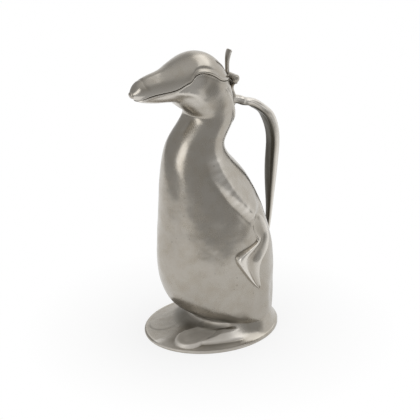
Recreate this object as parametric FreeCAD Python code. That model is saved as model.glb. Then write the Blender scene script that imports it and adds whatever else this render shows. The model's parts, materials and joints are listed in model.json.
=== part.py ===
import FreeCAD, Part
import math
import os

V = FreeCAD.Vector

# Driving dimensions, in millimetres

# Oval foot
FOOT_LENGTH = 133.0
FOOT_WIDTH = 112.0
FOOT_RIM = 2.6
FOOT_RISE = 10.8
FOOT_METAL = 2.4
FOOT_MARGIN = 1.5
RIM_LAND = 6.0
DISC_METAL = 1.6
DISC_CLEARANCE = 0.1

# Webbed feet in relief on the foot
TOE_LENGTH = 50.0
TOE_WIDTH = 26.0
TOE_PROUD = 3.2
TOE_ROUND = 1.2
TOE_OFFSET = 26.0
TOE_FORWARD = 29.0
TOE_TURN = 4.0
SIDE_TOE_LENGTH = 40.0
SIDE_TOE_WIDTH = 19.0
SIDE_TOE_PROUD = 1.6
SIDE_TOE_OFFSET = 41.0
SIDE_TOE_FORWARD = 12.0
SIDE_TOE_TURN = 20.0
TOE_MARGIN = 2.0

# Body and head
BODY_DEPTH = 112.5
BODY_HEIGHT = 195.0
BODY_WIDTH = 96.0
HEAD_LENGTH = 104.5
HEAD_HEIGHT = 67.0
HEAD_WIDTH = 49.0
WALL = 2.2
BILL_TIP_METAL = 2.0

# Flippers
WING_PROUD = 3.4
WING_SUNK = 2.6

# Parting line of the lid
RIM_GAP = 0.5
BILL_GAP = 1.4

# Hinge
HINGE_STAND = 4.4
HINGE_RISE = 1.8
KNUCKLE_RADIUS = 3.7
CENTRE_KNUCKLE = 9.6
BARREL = 22.0
KNUCKLE_GAP = 0.35
PIN_RADIUS = 1.5
PIN_CLEARANCE = 0.06
PIN_SEAT_CLEARANCE = 0.02
PIN_HEAD_RADIUS = 3.1
PIN_HEAD = 1.5
PIN_HEAD_ROUND = 1.3
HINGE_CLEARANCE = 0.5

# Strap leaf on the lid and thumb lift
LEAF_WIDTH = 8.4
LEAF_METAL = 1.7
LEAF_TIP_METAL = 0.7
LEAF_REACH = 17.0
LIFT_HEIGHT = 22.5
LIFT_WIDTH = 7.0
LIFT_METAL = 3.0
LIFT_CURL = 2.4

# Bracket behind the head and handle
BRACKET_DROP = 30.0
BRACKET_REACH = 10.0
HANDLE_REACH = 31.0
HANDLE_WIDTH = 13.4
HANDLE_THICKNESS = 11.4
HANDLE_END_RISE = 61.5

# Cuts run past the metal by this much
OVERRUN = 5.0

# Levels that follow from the sizes above
NECK_TOP = FOOT_RISE + BODY_HEIGHT
SECTION_POINT_COUNT = 28
STRAP_POINT_COUNT = 12
STATION_STEP_COUNT = 2
FLANK_STEP_COUNT = 20
LEAF_STEP_SHARE = 0.1
SLOPE_STEP_SHARE = 0.25
LEAST_SLANT_SHARE = 0.45

# Stations of the body: front reach and back reach as shares of the body depth,
# their heights as shares of the body height, half width as a share of the width
BODY_SHARES = [
    (-0.066, 0.000, 0.511, 0.000, 0.430),
    (-0.172, 0.036, 0.530, 0.028, 0.454),
    (-0.325, 0.095, 0.545, 0.085, 0.478),
    (-0.422, 0.187, 0.550, 0.182, 0.495),
    (-0.466, 0.295, 0.550, 0.279, 0.500),
    (-0.467, 0.408, 0.526, 0.387, 0.496),
    (-0.458, 0.536, 0.462, 0.515, 0.466),
    (-0.452, 0.674, 0.370, 0.644, 0.419),
    (-0.440, 0.803, 0.238, 0.767, 0.350),
    (-0.402, 0.915, 0.094, 0.869, 0.270),
    (-0.305, 0.997, 0.100, 0.936, 0.244),
]

# Stations of the head and bill, in shares of the head's own sizes
HEAD_SHARES = [
    (-0.254, 0.138, 0.172, 0.007, 0.478),
    (-0.278, 0.212, 0.188, 0.246, 0.482),
    (-0.322, 0.264, 0.144, 0.545, 0.490),
    (-0.370, 0.326, 0.036, 0.850, 0.500),
    (-0.411, 0.378, -0.165, 1.006, 0.480),
    (-0.459, 0.400, -0.374, 0.917, 0.398),
    (-0.536, 0.411, -0.507, 0.842, 0.306),
    (-0.612, 0.424, -0.612, 0.806, 0.258),
    (-0.700, 0.455, -0.718, 0.760, 0.212),
    (-0.756, 0.490, -0.772, 0.698, 0.158),
    (-0.796, 0.535, -0.806, 0.628, 0.078),
]
HINGE_STATION_INDEX = len(BODY_SHARES) + 2

# Lower edge of the lid in side view, in shares of the head, bill tip to nape
EDGE_SHARES = [
    (-0.900, 0.490),
    (-0.764, 0.524),
    (-0.680, 0.573),
    (-0.592, 0.591),
    (-0.518, 0.604),
    (-0.472, 0.621),
    (-0.426, 0.654),
    (-0.382, 0.692),
    (-0.343, 0.720),
    (-0.311, 0.772),
    (-0.280, 0.796),
    (-0.234, 0.801),
    (-0.155, 0.765),
    (-0.082, 0.697),
    (-0.008, 0.632),
]
MOUTH_CORNER_INDEX = 8

# Flipper from shoulder to tip: height share of the body height, front and back
# edges as shares of the body depth, thickness as a share of the full thickness
WING_SHARES = [
    (0.920, -0.190, -0.080, 0.05),
    (0.880, -0.165, -0.030, 0.35),
    (0.820, -0.135, 0.030, 0.75),
    (0.730, -0.095, 0.130, 0.95),
    (0.625, 0.010, 0.225, 1.00),
    (0.530, 0.090, 0.300, 1.00),
    (0.455, 0.060, 0.325, 1.00),
    (0.395, -0.030, 0.300, 1.00),
    (0.335, -0.015, 0.225, 0.90),
    (0.265, 0.050, 0.200, 0.65),
    (0.195, 0.150, 0.235, 0.25),
]

# Handle: way down and way out as shares, then shares of width and thickness
HANDLE_SHARES = [
    (0.000, 0.000, 0.62, 0.80),
    (0.022, 0.245, 0.64, 0.80),
    (0.049, 0.537, 0.70, 0.85),
    (0.097, 0.820, 0.84, 0.92),
    (0.160, 0.985, 0.95, 1.00),
    (0.252, 1.047, 1.00, 1.00),
    (0.346, 0.977, 0.98, 0.98),
    (0.440, 0.845, 0.95, 0.94),
    (0.548, 0.700, 0.88, 0.82),
    (0.663, 0.560, 0.68, 0.66),
    (0.764, 0.440, 0.50, 0.52),
    (0.858, 0.305, 0.42, 0.44),
    (0.939, 0.150, 0.40, 0.40),
    (1.000, 0.000, 0.40, 0.38),
]

# Outline of the bracket below the pin, in shares of its reach and drop
BRACKET_SHARES = [
    (0.37, 0.000),
    (0.36, 0.350),
    (1.08, 0.650),
    (0.68, 0.920),
    (0.20, 1.000),
    (-0.90, 0.900),
    (-0.90, 0.180),
    (-0.37, 0.000),
]
SOCKET_TOP_INDEX = 2
SOCKET_FOOT_INDEX = 3

# Width of the bracket on its way down, in shares of the drop and of the barrel
BRACKET_WIDTH_SHARES = [
    (0.00, 1.00),
    (0.17, 1.00),
    (0.36, 0.58),
    (0.70, 0.52),
    (1.00, 0.40),
]

# Thumb lift: way out in shares of its curl, way up, and share of its width
LIFT_SHARES = [
    (-0.75, 0.10, 1.00),
    (-0.80, 0.26, 0.92),
    (-0.75, 0.45, 0.84),
    (-0.85, 0.65, 0.86),
    (-0.75, 0.86, 1.00),
    (-0.20, 1.00, 1.00),
    (0.55, 0.98, 0.92),
    (0.80, 0.90, 0.80),
]

# Section of the flipper: place from front to back edge, then lift from the skin
WING_SECTION_SHARES = [
    (0.00, -0.30),
    (0.10, 0.90),
    (0.40, 1.10),
    (0.75, 0.80),
    (1.00, -0.30),
    (0.75, -1.00),
    (0.40, -1.00),
    (0.10, -1.00),
]


def spline_slopes(values):
    """Second derivatives of the smooth curve through evenly spaced values."""
    count = len(values)
    upper = [0.0] * count
    right = [0.0] * count
    for i in range(1, count - 1):
        bend = values[i + 1] - 2 * values[i] + values[i - 1]
        pivot = 4 - upper[i - 1]
        upper[i] = 1 / pivot
        right[i] = (6 * bend - right[i - 1]) / pivot
    second = [0.0] * count
    for i in range(count - 2, 0, -1):
        second[i] = right[i] - upper[i] * second[i + 1]
    return second


def spline_value(values, second, t):
    """Value of the smooth curve at station number t."""
    i = min(int(t), len(values) - 2)
    b = t - i
    a = 1 - b
    bend = (a ** 3 - a) * second[i] + (b ** 3 - b) * second[i + 1]
    return a * values[i] + b * values[i + 1] + bend / 6


def stations():
    """Front and back points and half width of every station, in millimetres."""
    rows = []
    for front, front_z, back, back_z, half in BODY_SHARES:
        rows.append((front * BODY_DEPTH, FOOT_RISE + front_z * BODY_HEIGHT,
                     back * BODY_DEPTH, FOOT_RISE + back_z * BODY_HEIGHT,
                     half * BODY_WIDTH))
    for front, front_z, back, back_z, half in HEAD_SHARES:
        rows.append((front * HEAD_LENGTH, NECK_TOP + front_z * HEAD_HEIGHT,
                     back * HEAD_LENGTH, NECK_TOP + back_z * HEAD_HEIGHT,
                     half * HEAD_WIDTH))
    return rows


def skin_row(t):
    """Front point, back point and half width of the skin at station number t."""
    row = []
    for column, second in zip(COLUMNS, SECONDS):
        row.append(spline_value(column, second, t))
    return row


COLUMNS = list(zip(*stations()))
SECONDS = [spline_slopes(column) for column in COLUMNS]
LAST_STATION_INDEX = len(COLUMNS[0]) - 1


def tube(rings):
    """Smooth closed solid drawn through rings of guide points, with flat ends."""
    rows = len(rings)
    around = len(rings[0])
    along_knots = [float(i) for i in range(rows - 2)]
    along_counts = [4] + [1] * (rows - 4) + [4]
    round_knots = [float(i) for i in range(around + 1)]
    round_counts = [1] * (around + 1)
    skin = Part.BSplineSurface()
    skin.buildFromPolesMultsKnots(rings, along_counts, round_counts, along_knots,
                                  round_knots, False, True, 3, 3)
    faces = [skin.toShape()]
    for end in (along_knots[0], along_knots[-1]):
        faces.append(Part.Face(Part.Wire([skin.uIso(end).toShape()])))
    closed = Part.Compound(faces)
    closed.sewShape()
    solid = Part.Solid(closed.Shells[0])
    if solid.Volume < 0:
        solid.reverse()
    return solid


def oval_ring(middle, reach, side, count):
    """Guide points of an oval; they stand outside it by the smoothing of the curve."""
    swell = 3 / (2 + math.cos(2 * math.pi / count))
    points = []
    for i in range(count):
        angle = math.pi / 2 + 2 * math.pi * i / count
        points.append(middle + (reach * math.cos(angle) + side * math.sin(angle)) * swell)
    return points


def section_ring(row):
    """Oval section of the skin between a front and a back point."""
    front = V(0, row[0], row[1])
    back = V(0, row[2], row[3])
    return oval_ring((front + back) / 2, (back - front) / 2, V(row[4], 0, 0), SECTION_POINT_COUNT)


def station_numbers():
    """Station numbers at which sections are drawn."""
    count = LAST_STATION_INDEX * STATION_STEP_COUNT
    return [i / STATION_STEP_COUNT for i in range(count + 1)]


def outer_skin():
    """Solid inside the outer surface of body, head and bill."""
    return tube([section_ring(skin_row(t)) for t in station_numbers()])


def inset(point, before, after, toward):
    """Point moved along the section so that the wall is WALL thick across."""
    run = after - before
    across = run.cross(toward).Length / (run.Length * toward.Length)
    step = WALL / max(across, LEAST_SLANT_SHARE)
    return point + toward * (step / toward.Length)


def inner_row(t):
    """Front point, back point and half width of the hollow at station number t."""
    low = skin_row(max(t - SLOPE_STEP_SHARE, 0))
    high = skin_row(min(t + SLOPE_STEP_SHARE, LAST_STATION_INDEX))
    row = skin_row(t)
    front = V(0, row[0], row[1])
    back = V(0, row[2], row[3])
    toward = back - front
    new_front = inset(front, V(0, low[0], low[1]), V(0, high[0], high[1]), toward)
    new_back = inset(back, V(0, low[2], low[3]), V(0, high[2], high[3]), toward * -1)
    return (new_front.y, new_front.z, new_back.y, new_back.z, row[4] - WALL)


def inner_skin():
    """Solid that fills the hollow of body, head and bill."""
    first = list(inner_row(0))
    first[1] -= OVERRUN
    first[3] -= OVERRUN
    rings = [section_ring(first)]
    for t in station_numbers():
        row = inner_row(t)
        height = math.hypot(row[2] - row[0], row[3] - row[1])
        if t > HINGE_STATION_INDEX and (row[4] < BILL_TIP_METAL or height < 4 * BILL_TIP_METAL):
            break
        rings.append(section_ring(row))
    return tube(rings)


def flank(y, z):
    """Half width of the body at a place of the flank."""
    best = 0.0
    gap = BODY_HEIGHT
    for i in range(FLANK_STEP_COUNT * len(BODY_SHARES)):
        row = skin_row(i / FLANK_STEP_COUNT)
        share = (y - row[0]) / (row[2] - row[0])
        level = row[1] + share * (row[3] - row[1])
        if abs(level - z) < gap:
            gap = abs(level - z)
            best = row[4] * math.sqrt(max(1 - (2 * share - 1) ** 2, 0))
    return best


def wing():
    """Flipper on the left flank, half sunk in the skin."""
    rings = []
    for rise, front, back, thickness in WING_SHARES:
        z = FOOT_RISE + rise * BODY_HEIGHT
        ring = []
        for place, lift in WING_SECTION_SHARES:
            y = (front + place * (back - front)) * BODY_DEPTH
            proud = WING_PROUD if lift > 0 else WING_SUNK
            ring.append(V(flank(y, z) + lift * thickness * proud, y, z))
        rings.append(ring)
    return tube(rings)


def hinge_axis():
    """Centre of the hinge pin."""
    row = skin_row(HINGE_STATION_INDEX)
    return V(0, row[2] + HINGE_STAND, row[3] + HINGE_RISE)


def bar(radius, start, length):
    """Round bar along the hinge axis."""
    return Part.makeCylinder(radius, length, hinge_axis() + V(start, 0, 0), V(1, 0, 0))


def plate_across(corners, width):
    """Flat outline in the centre plane, drawn out to both sides."""
    face = Part.Face(Part.makePolygon(corners + [corners[0]]))
    face.translate(V(-width / 2, 0, 0))
    return face.extrude(V(width, 0, 0))


def edge_points(drop_at_rim, drop_at_tip):
    """Points of the lid's lower edge, lowered by a gap that grows to the bill tip."""
    points = []
    tip_y = EDGE_SHARES[0][0]
    corner_y = EDGE_SHARES[MOUTH_CORNER_INDEX][0]
    for y, z in EDGE_SHARES:
        toward_tip = max((y - corner_y) / (tip_y - corner_y), 0)
        drop = drop_at_rim + (drop_at_tip - drop_at_rim) * toward_tip
        points.append(V(0, y * HEAD_LENGTH, NECK_TOP + z * HEAD_HEIGHT - drop))
    points.append(hinge_axis() - V(0, 0, drop_at_rim))
    return points


def above_edge(drop_at_rim, drop_at_tip):
    """Everything above the lid's edge, lowered by the given gaps."""
    points = edge_points(drop_at_rim, drop_at_tip)
    curve = Part.BSplineCurve()
    curve.interpolate(Points=points)
    top = NECK_TOP + 2 * HEAD_HEIGHT
    far = points[-1] + V(0, HEAD_LENGTH, 0)
    corners = [points[-1], far, V(0, far.y, top), V(0, points[0].y, top), points[0]]
    wire = Part.Wire([curve.toShape()] + Part.makePolygon(corners).Edges)
    face = Part.Face(wire)
    face.translate(V(-HEAD_WIDTH, 0, 0))
    return face.extrude(V(2 * HEAD_WIDTH, 0, 0))


def body_left_half(outer, inner):
    """Left cast half of the body with its flipper, up to the seam on the centre plane."""
    block = Part.makeBox(BODY_WIDTH, 2 * FOOT_LENGTH, NECK_TOP + 2 * HEAD_HEIGHT)
    block.translate(V(0, -FOOT_LENGTH, 0))
    half = outer.common(block).fuse(wing()).cut(inner)
    return largest(half.cut(above_edge(RIM_GAP, RIM_GAP + BILL_GAP)))


def largest(shape):
    """The biggest solid of a shape."""
    return max(shape.Solids, key=lambda solid: solid.Volume)


def lid_shell(outer, inner):
    """Crown and upper bill in one hollow piece, clear of the knuckles."""
    shell = outer.cut(inner).common(above_edge(0, 0))
    room = bar(KNUCKLE_RADIUS + HINGE_CLEARANCE, -BARREL, 2 * BARREL)
    return largest(shell.cut(room))


def lid_leaf(outer):
    """Strap on the back of the crown, with the centre knuckle of the hinge."""
    axis = hinge_axis()
    outside = [axis, axis + V(0, 0, KNUCKLE_RADIUS)]
    inside = []
    last = skin_row(HINGE_STATION_INDEX)
    run = 0.0
    t = float(HINGE_STATION_INDEX)
    while run < LEAF_REACH:
        t += LEAF_STEP_SHARE
        row = skin_row(t)
        along = V(0, row[2] - last[2], row[3] - last[3])
        run += along.Length
        out = V(0, along.z, -along.y).normalize()
        metal = LEAF_METAL + (LEAF_TIP_METAL - LEAF_METAL) * min(run / LEAF_REACH, 1)
        if row[3] > axis.z + KNUCKLE_RADIUS:
            outside.append(V(0, row[2], row[3]) + out * metal)
        inside.append(V(0, row[2], row[3]) - out * LEAF_METAL)
        last = row
    strap = plate_across(outside + inside[::-1], LEAF_WIDTH)
    strap = strap.fuse(bar(KNUCKLE_RADIUS, -CENTRE_KNUCKLE / 2, CENTRE_KNUCKLE))
    return largest(strap.cut(outer).cut(bar(PIN_RADIUS + PIN_CLEARANCE, -BARREL, 2 * BARREL)))


def lift_rings():
    """Guide rings of the thumb lift, from its foot to the curled tip."""
    axis = hinge_axis()
    points = [axis + V(0, out * LIFT_CURL, up * LIFT_HEIGHT) for out, up, share in LIFT_SHARES]
    halves = [share * LIFT_WIDTH / 2 for out, up, share in LIFT_SHARES]
    return strap_rings(points, halves, [LIFT_METAL / 2] * len(points))


def strap_rings(points, half_widths, half_depths):
    """Flat oval rings square to a path in the centre plane."""
    rings = []
    for i, point in enumerate(points):
        along = points[min(i + 1, len(points) - 1)] - points[max(i - 1, 0)]
        across = V(0, along.z, -along.y).normalize()
        rings.append(oval_ring(point, across * half_depths[i], V(half_widths[i], 0, 0), STRAP_POINT_COUNT))
    return rings


def thumb_lift(outer):
    """Upright leaf that the thumb presses, standing on the strap."""
    lift = tube(lift_rings())
    lift = lift.cut(lid_leaf(outer)).cut(bar(KNUCKLE_RADIUS, -CENTRE_KNUCKLE / 2, CENTRE_KNUCKLE))
    return largest(lift.cut(outer))


def bracket_corners():
    """Corners of the bracket in the centre plane."""
    axis = hinge_axis()
    return [axis + V(0, out * BRACKET_REACH, -down * BRACKET_DROP) for out, down in BRACKET_SHARES]


def hinge_bracket(outer):
    """Bracket on the nape with the two outer knuckles and the handle's seat."""
    axis = hinge_axis()
    web = plate_across(bracket_corners(), BARREL)
    right = []
    left = []
    for down, width in BRACKET_WIDTH_SHARES:
        level = axis + V(0, -FOOT_LENGTH, -down * BRACKET_DROP)
        right.append(level - V(width * BARREL / 2, 0, 0))
        left.append(level + V(width * BARREL / 2, 0, 0))
    front = Part.Face(Part.makePolygon(right + left[::-1] + right[:1]))
    web = web.common(front.extrude(V(0, 2 * FOOT_LENGTH, 0)))
    room = CENTRE_KNUCKLE + 2 * KNUCKLE_GAP
    for start in (-BARREL / 2, room / 2):
        web = web.fuse(bar(KNUCKLE_RADIUS, start, (BARREL - room) / 2))
    slot = Part.makeBox(room, 2 * FOOT_LENGTH, HEAD_HEIGHT)
    slot.translate(V(-room / 2, -FOOT_LENGTH, axis.z - KNUCKLE_RADIUS - HINGE_CLEARANCE))
    web = web.cut(slot).cut(bar(PIN_RADIUS + PIN_SEAT_CLEARANCE, -BARREL, 2 * BARREL))
    return largest(web.cut(outer))


def hinge_pin():
    """Pin through all knuckles, with a rounded head at each end."""
    pin = bar(PIN_RADIUS, -BARREL / 2, BARREL)
    for start, end in ((BARREL / 2, 1), (-BARREL / 2 - PIN_HEAD, -1)):
        head = bar(PIN_HEAD_RADIUS, start, PIN_HEAD)
        far = start + PIN_HEAD if end > 0 else start
        rims = [e for e in head.Edges if e.Closed and abs(e.BoundBox.Center.x - far) < PIN_HEAD / 4]
        pin = pin.fuse(head.makeFillet(PIN_HEAD_ROUND, rims))
    return pin.removeSplitter()


def back_reach(z):
    """How far the back of the body reaches at a height."""
    best = 0.0
    gap = BODY_HEIGHT
    for i in range(FLANK_STEP_COUNT * len(BODY_SHARES)):
        row = skin_row(i / FLANK_STEP_COUNT)
        if abs(row[3] - z) < gap:
            gap = abs(row[3] - z)
            best = row[2]
    return best


def handle(outer):
    """Strap handle from the bracket's seat to the back of the body."""
    corners = bracket_corners()
    seat = corners[SOCKET_FOOT_INDEX] - corners[SOCKET_TOP_INDEX]
    start = (corners[SOCKET_TOP_INDEX] + corners[SOCKET_FOOT_INDEX]) / 2
    low = FOOT_RISE + HANDLE_END_RISE
    end = V(0, back_reach(low), low)
    points = []
    halves = []
    depths = []
    for down, out, width, thickness in HANDLE_SHARES:
        points.append(start + (end - start) * down + V(0, out * HANDLE_REACH, 0))
        halves.append(width * HANDLE_WIDTH / 2)
        depths.append(thickness * HANDLE_THICKNESS / 2)
    rings = strap_rings(points, halves, depths)
    rings[0] = oval_ring(start, seat.normalize() * depths[0], V(halves[0], 0, 0), STRAP_POINT_COUNT)
    return largest(tube(rings).cut(outer))


def oval(length, width, y, z):
    """Level oval wire, its length along the line from bill to tail."""
    points = oval_ring(V(0, y, z), V(0, length / 2, 0), V(width / 2, 0, 0), SECTION_POINT_COUNT)
    knots = [float(i) for i in range(SECTION_POINT_COUNT + 1)]
    curve = Part.BSplineCurve()
    curve.buildFromPolesMultsKnots(points, [1] * len(knots), knots, True, 3)
    return Part.Wire([curve.toShape()])


def plateau():
    """Length, width and middle of the flat top on which the body stands."""
    row = skin_row(0)
    length = row[2] - row[0] + 2 * FOOT_MARGIN
    return length, 2 * row[4] + 2 * FOOT_MARGIN, (row[0] + row[2]) / 2


def toe(length, width, height):
    """Flat toe lobe with a rounded upper edge."""
    lobe = Part.Face(oval(length, width, 0, 0)).extrude(V(0, 0, height))
    rims = [e for e in lobe.Edges if e.BoundBox.ZMin > height / 2]
    return lobe.makeFillet(TOE_ROUND, rims)


def place(shape, x, y, turn):
    """Turn a shape on the spot and move it to its place on the foot."""
    shape.rotate(V(0, 0, 0), V(0, 0, 1), turn)
    shape.translate(V(x, y, 0))


def foot_plate():
    """Oval foot, hollow underneath, with the two webbed feet on it."""
    top_length, top_width, top_y = plateau()
    plate = Part.Face(oval(FOOT_LENGTH, FOOT_WIDTH, 0, 0)).extrude(V(0, 0, FOOT_RIM))
    rings = [oval(FOOT_LENGTH, FOOT_WIDTH, 0, FOOT_RIM), oval(top_length, top_width, top_y, FOOT_RISE)]
    plate = plate.fuse(Part.makeLoft(rings, True, True))
    less = 2 * TOE_MARGIN
    room = Part.Face(oval(FOOT_LENGTH - less, FOOT_WIDTH - less, 0, 0)).extrude(V(0, 0, FOOT_RISE))
    for side in (1, -1):
        front = toe(TOE_LENGTH, TOE_WIDTH, FOOT_RIM + TOE_PROUD)
        outside = toe(SIDE_TOE_LENGTH, SIDE_TOE_WIDTH, FOOT_RIM + SIDE_TOE_PROUD)
        place(front, side * TOE_OFFSET, -TOE_FORWARD, side * TOE_TURN)
        place(outside, side * SIDE_TOE_OFFSET, -SIDE_TOE_FORWARD, side * SIDE_TOE_TURN)
        plate = plate.fuse([front.common(room), outside.common(room)])
    return largest(plate.cut(foot_hollow()))


def foot_hollow():
    """Space under the foot, with a straight seat for the closing disc."""
    top_length, top_width, top_y = plateau()
    seat = Part.Face(oval(FOOT_LENGTH - 2 * RIM_LAND, FOOT_WIDTH - 2 * RIM_LAND, 0, 0))
    seat = seat.extrude(V(0, 0, DISC_METAL))
    less = 2 * RIM_LAND + 2 * FOOT_METAL
    rings = [oval(FOOT_LENGTH - less, FOOT_WIDTH - less, 0, DISC_METAL),
             oval(top_length - less, top_width - less, top_y, FOOT_RISE - FOOT_METAL)]
    return seat.fuse(Part.makeLoft(rings, True, True))


def bottom_disc():
    """Plain plate that closes the foot from below."""
    less = 2 * RIM_LAND + 2 * DISC_CLEARANCE
    return Part.Face(oval(FOOT_LENGTH - less, FOOT_WIDTH - less, 0, 0)).extrude(V(0, 0, DISC_METAL))


def all_parts():
    """Every separate piece under its own name."""
    outer = outer_skin()
    inner = inner_skin()
    left_half = body_left_half(outer, inner)
    return {
        "body_left_half": left_half,
        "body_right_half": left_half.mirror(V(0, 0, 0), V(1, 0, 0)),
        "foot_plate": foot_plate(),
        "bottom_disc": bottom_disc(),
        "handle": handle(outer),
        "hinge_bracket": hinge_bracket(outer),
        "hinge_pin": hinge_pin(),
        "lid_shell": lid_shell(outer, inner),
        "lid_leaf": lid_leaf(outer),
        "thumb_lift": thumb_lift(outer),
    }


os.makedirs("parts", exist_ok=True)
for name, shape in all_parts().items():
    shape.exportStep("parts/" + name + ".step")
    print(name, shape.isValid(), round(shape.Volume))
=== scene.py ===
# %% [markdown]
# # A pewter jug in the shape of a standing auk
#
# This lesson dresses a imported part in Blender. The real jug is a few pewter castings soldered
# together: a hollow body with the lower bill as its spout, a lid made of the crown and the upper
# bill, an oval foot, a strap handle and a small pinned hinge. The solids already say where each
# piece is and how the lid moves, so we load them first and build finer skins over them.

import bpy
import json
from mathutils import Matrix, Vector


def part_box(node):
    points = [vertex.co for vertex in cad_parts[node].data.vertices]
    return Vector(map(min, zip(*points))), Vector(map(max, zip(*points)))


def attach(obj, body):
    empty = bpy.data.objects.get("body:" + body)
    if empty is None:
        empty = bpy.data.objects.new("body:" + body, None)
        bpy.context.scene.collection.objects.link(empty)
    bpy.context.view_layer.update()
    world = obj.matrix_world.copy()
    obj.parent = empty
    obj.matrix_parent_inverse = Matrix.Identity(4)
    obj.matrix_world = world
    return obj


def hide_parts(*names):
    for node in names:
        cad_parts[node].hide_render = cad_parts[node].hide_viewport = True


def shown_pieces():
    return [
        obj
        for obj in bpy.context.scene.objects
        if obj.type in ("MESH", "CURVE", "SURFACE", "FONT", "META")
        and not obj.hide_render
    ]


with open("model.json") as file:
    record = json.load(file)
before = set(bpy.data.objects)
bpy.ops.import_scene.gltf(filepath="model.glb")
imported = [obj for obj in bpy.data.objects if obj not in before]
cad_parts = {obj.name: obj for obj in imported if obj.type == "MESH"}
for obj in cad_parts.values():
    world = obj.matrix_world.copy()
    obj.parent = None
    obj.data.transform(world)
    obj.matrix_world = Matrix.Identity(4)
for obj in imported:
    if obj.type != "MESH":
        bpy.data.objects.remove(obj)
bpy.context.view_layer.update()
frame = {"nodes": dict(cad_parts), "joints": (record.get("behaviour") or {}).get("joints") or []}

import json
import math

import bmesh
import bpy
import numpy as np
from mathutils import Quaternion, Vector

# %% [markdown]
# ## Sizes
#
# The figure is drawn through stations: at each one we know a point on the front line, a point on
# the back line and the half width. They are written as shares of the jug's main sizes. A smooth
# spline through them gives every section in between, which is how a model maker would loft a clay
# figure over a few templates. We could have sculpted the form by hand, but a formula lets every
# relief and every parting line find its place on the skin.

# %% Main sizes and stations
MM = 0.001
FOOT_LENGTH, FOOT_WIDTH = 133 * MM, 112 * MM
FOOT_RIM, FOOT_RISE = 2.6 * MM, 10.8 * MM
BODY_DEPTH, BODY_HEIGHT, BODY_WIDTH = 112.5 * MM, 195 * MM, 96 * MM
HEAD_LENGTH, HEAD_HEIGHT, HEAD_WIDTH = 104.5 * MM, 67 * MM, 49 * MM
WALL = 2.2 * MM
NECK_TOP = FOOT_RISE + BODY_HEIGHT

FRONT_Y, FRONT_Z, BACK_Y, BACK_Z, HALF_WIDTH = range(5)
BODY_SHARES = np.array([
    (-0.066, 0.000, 0.511, 0.000, 0.430), (-0.172, 0.036, 0.530, 0.028, 0.454),
    (-0.325, 0.095, 0.545, 0.085, 0.478), (-0.422, 0.187, 0.550, 0.182, 0.495),
    (-0.466, 0.295, 0.550, 0.279, 0.500), (-0.467, 0.408, 0.526, 0.387, 0.496),
    (-0.458, 0.536, 0.462, 0.515, 0.466), (-0.452, 0.674, 0.370, 0.644, 0.419),
    (-0.440, 0.803, 0.238, 0.767, 0.350), (-0.402, 0.915, 0.094, 0.869, 0.270),
    (-0.305, 0.997, 0.100, 0.936, 0.244)])
HEAD_SHARES = np.array([
    (-0.254, 0.138, 0.172, 0.007, 0.478), (-0.278, 0.212, 0.188, 0.246, 0.482),
    (-0.322, 0.264, 0.144, 0.545, 0.490), (-0.370, 0.326, 0.036, 0.850, 0.500),
    (-0.411, 0.378, -0.165, 1.006, 0.480), (-0.459, 0.400, -0.374, 0.917, 0.398),
    (-0.536, 0.411, -0.507, 0.842, 0.306), (-0.612, 0.424, -0.612, 0.806, 0.258),
    (-0.700, 0.455, -0.718, 0.760, 0.212), (-0.756, 0.490, -0.772, 0.698, 0.158),
    (-0.796, 0.535, -0.806, 0.628, 0.078)])
body_rows = BODY_SHARES * [BODY_DEPTH, BODY_HEIGHT, BODY_DEPTH, BODY_HEIGHT, BODY_WIDTH]
head_rows = HEAD_SHARES * [HEAD_LENGTH, HEAD_HEIGHT, HEAD_LENGTH, HEAD_HEIGHT, HEAD_WIDTH]
STATIONS = np.vstack([body_rows + [0, FOOT_RISE, 0, FOOT_RISE, 0],
                      head_rows + [0, NECK_TOP, 0, NECK_TOP, 0]])
LAST = len(STATIONS) - 1
HINGE_Y, HINGE_Z = np.array(frame["joints"][0]["pos_m"])[1:].tolist()
print("stations", len(STATIONS), "hinge at", HINGE_Y, HINGE_Z)

# %% [markdown]
# ## The skin of the figure
#
# One function gives the bare skin: for a station number and an angle round the section it returns
# a point. Angle zero is the back or the top of the head, a half turn is the front or the throat.
# Body and lid are both cut from this one skin, so they meet without any fitting.

# %% Spline and skin
def spline(values, t):
    """Natural cubic spline through evenly spaced rows of values, read at positions t."""
    values = np.asarray(values, float)
    n = len(values)
    bends = np.zeros_like(values)
    weights = np.diag(np.full(n - 2, 4.0)) + np.diag(np.ones(n - 3), 1) + np.diag(np.ones(n - 3), -1)
    bends[1:-1] = np.linalg.solve(weights, 6 * (values[2:] - 2 * values[1:-1] + values[:-2]))
    t = np.clip(np.asarray(t, float), 0, n - 1)
    i = np.minimum(t.astype(int), n - 2)
    b = (t - i)[..., None]
    a = 1 - b
    flat = values.reshape(n, -1)
    bent = bends.reshape(n, -1)
    out = a * flat[i] + b * flat[i + 1]
    return out + ((a ** 3 - a) * bent[i] + (b ** 3 - b) * bent[i + 1]) / 6


def skin(u, turn):
    """Point of the bare skin: middle of front and back points, plus half their distance times
    the cosine of the turn, plus the half width times its sine."""
    row = spline(STATIONS, u)
    front, back = row[..., FRONT_Y:BACK_Y], row[..., BACK_Y:HALF_WIDTH]
    middle = (front + back) / 2 + (back - front) / 2 * np.cos(turn)[..., None]
    return np.stack([row[..., HALF_WIDTH] * np.sin(turn), middle[..., 0], middle[..., 1]], -1)


def skin_normal(u, turn):
    """Outward unit normal of the skin: a small step along it crossed with a small step around it."""
    step = 1e-3
    along = skin(np.minimum(u + step, LAST), turn) - skin(np.maximum(u - step, 0), turn)
    around = skin(u, turn + step) - skin(u, turn - step)
    normal = np.cross(along, around)
    return normal / np.maximum(np.linalg.norm(normal, axis=-1, keepdims=True), 1e-12)


print("normal at the left flank", skin_normal(np.array([5.0]), np.array([math.pi / 2]))[0])

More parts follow.
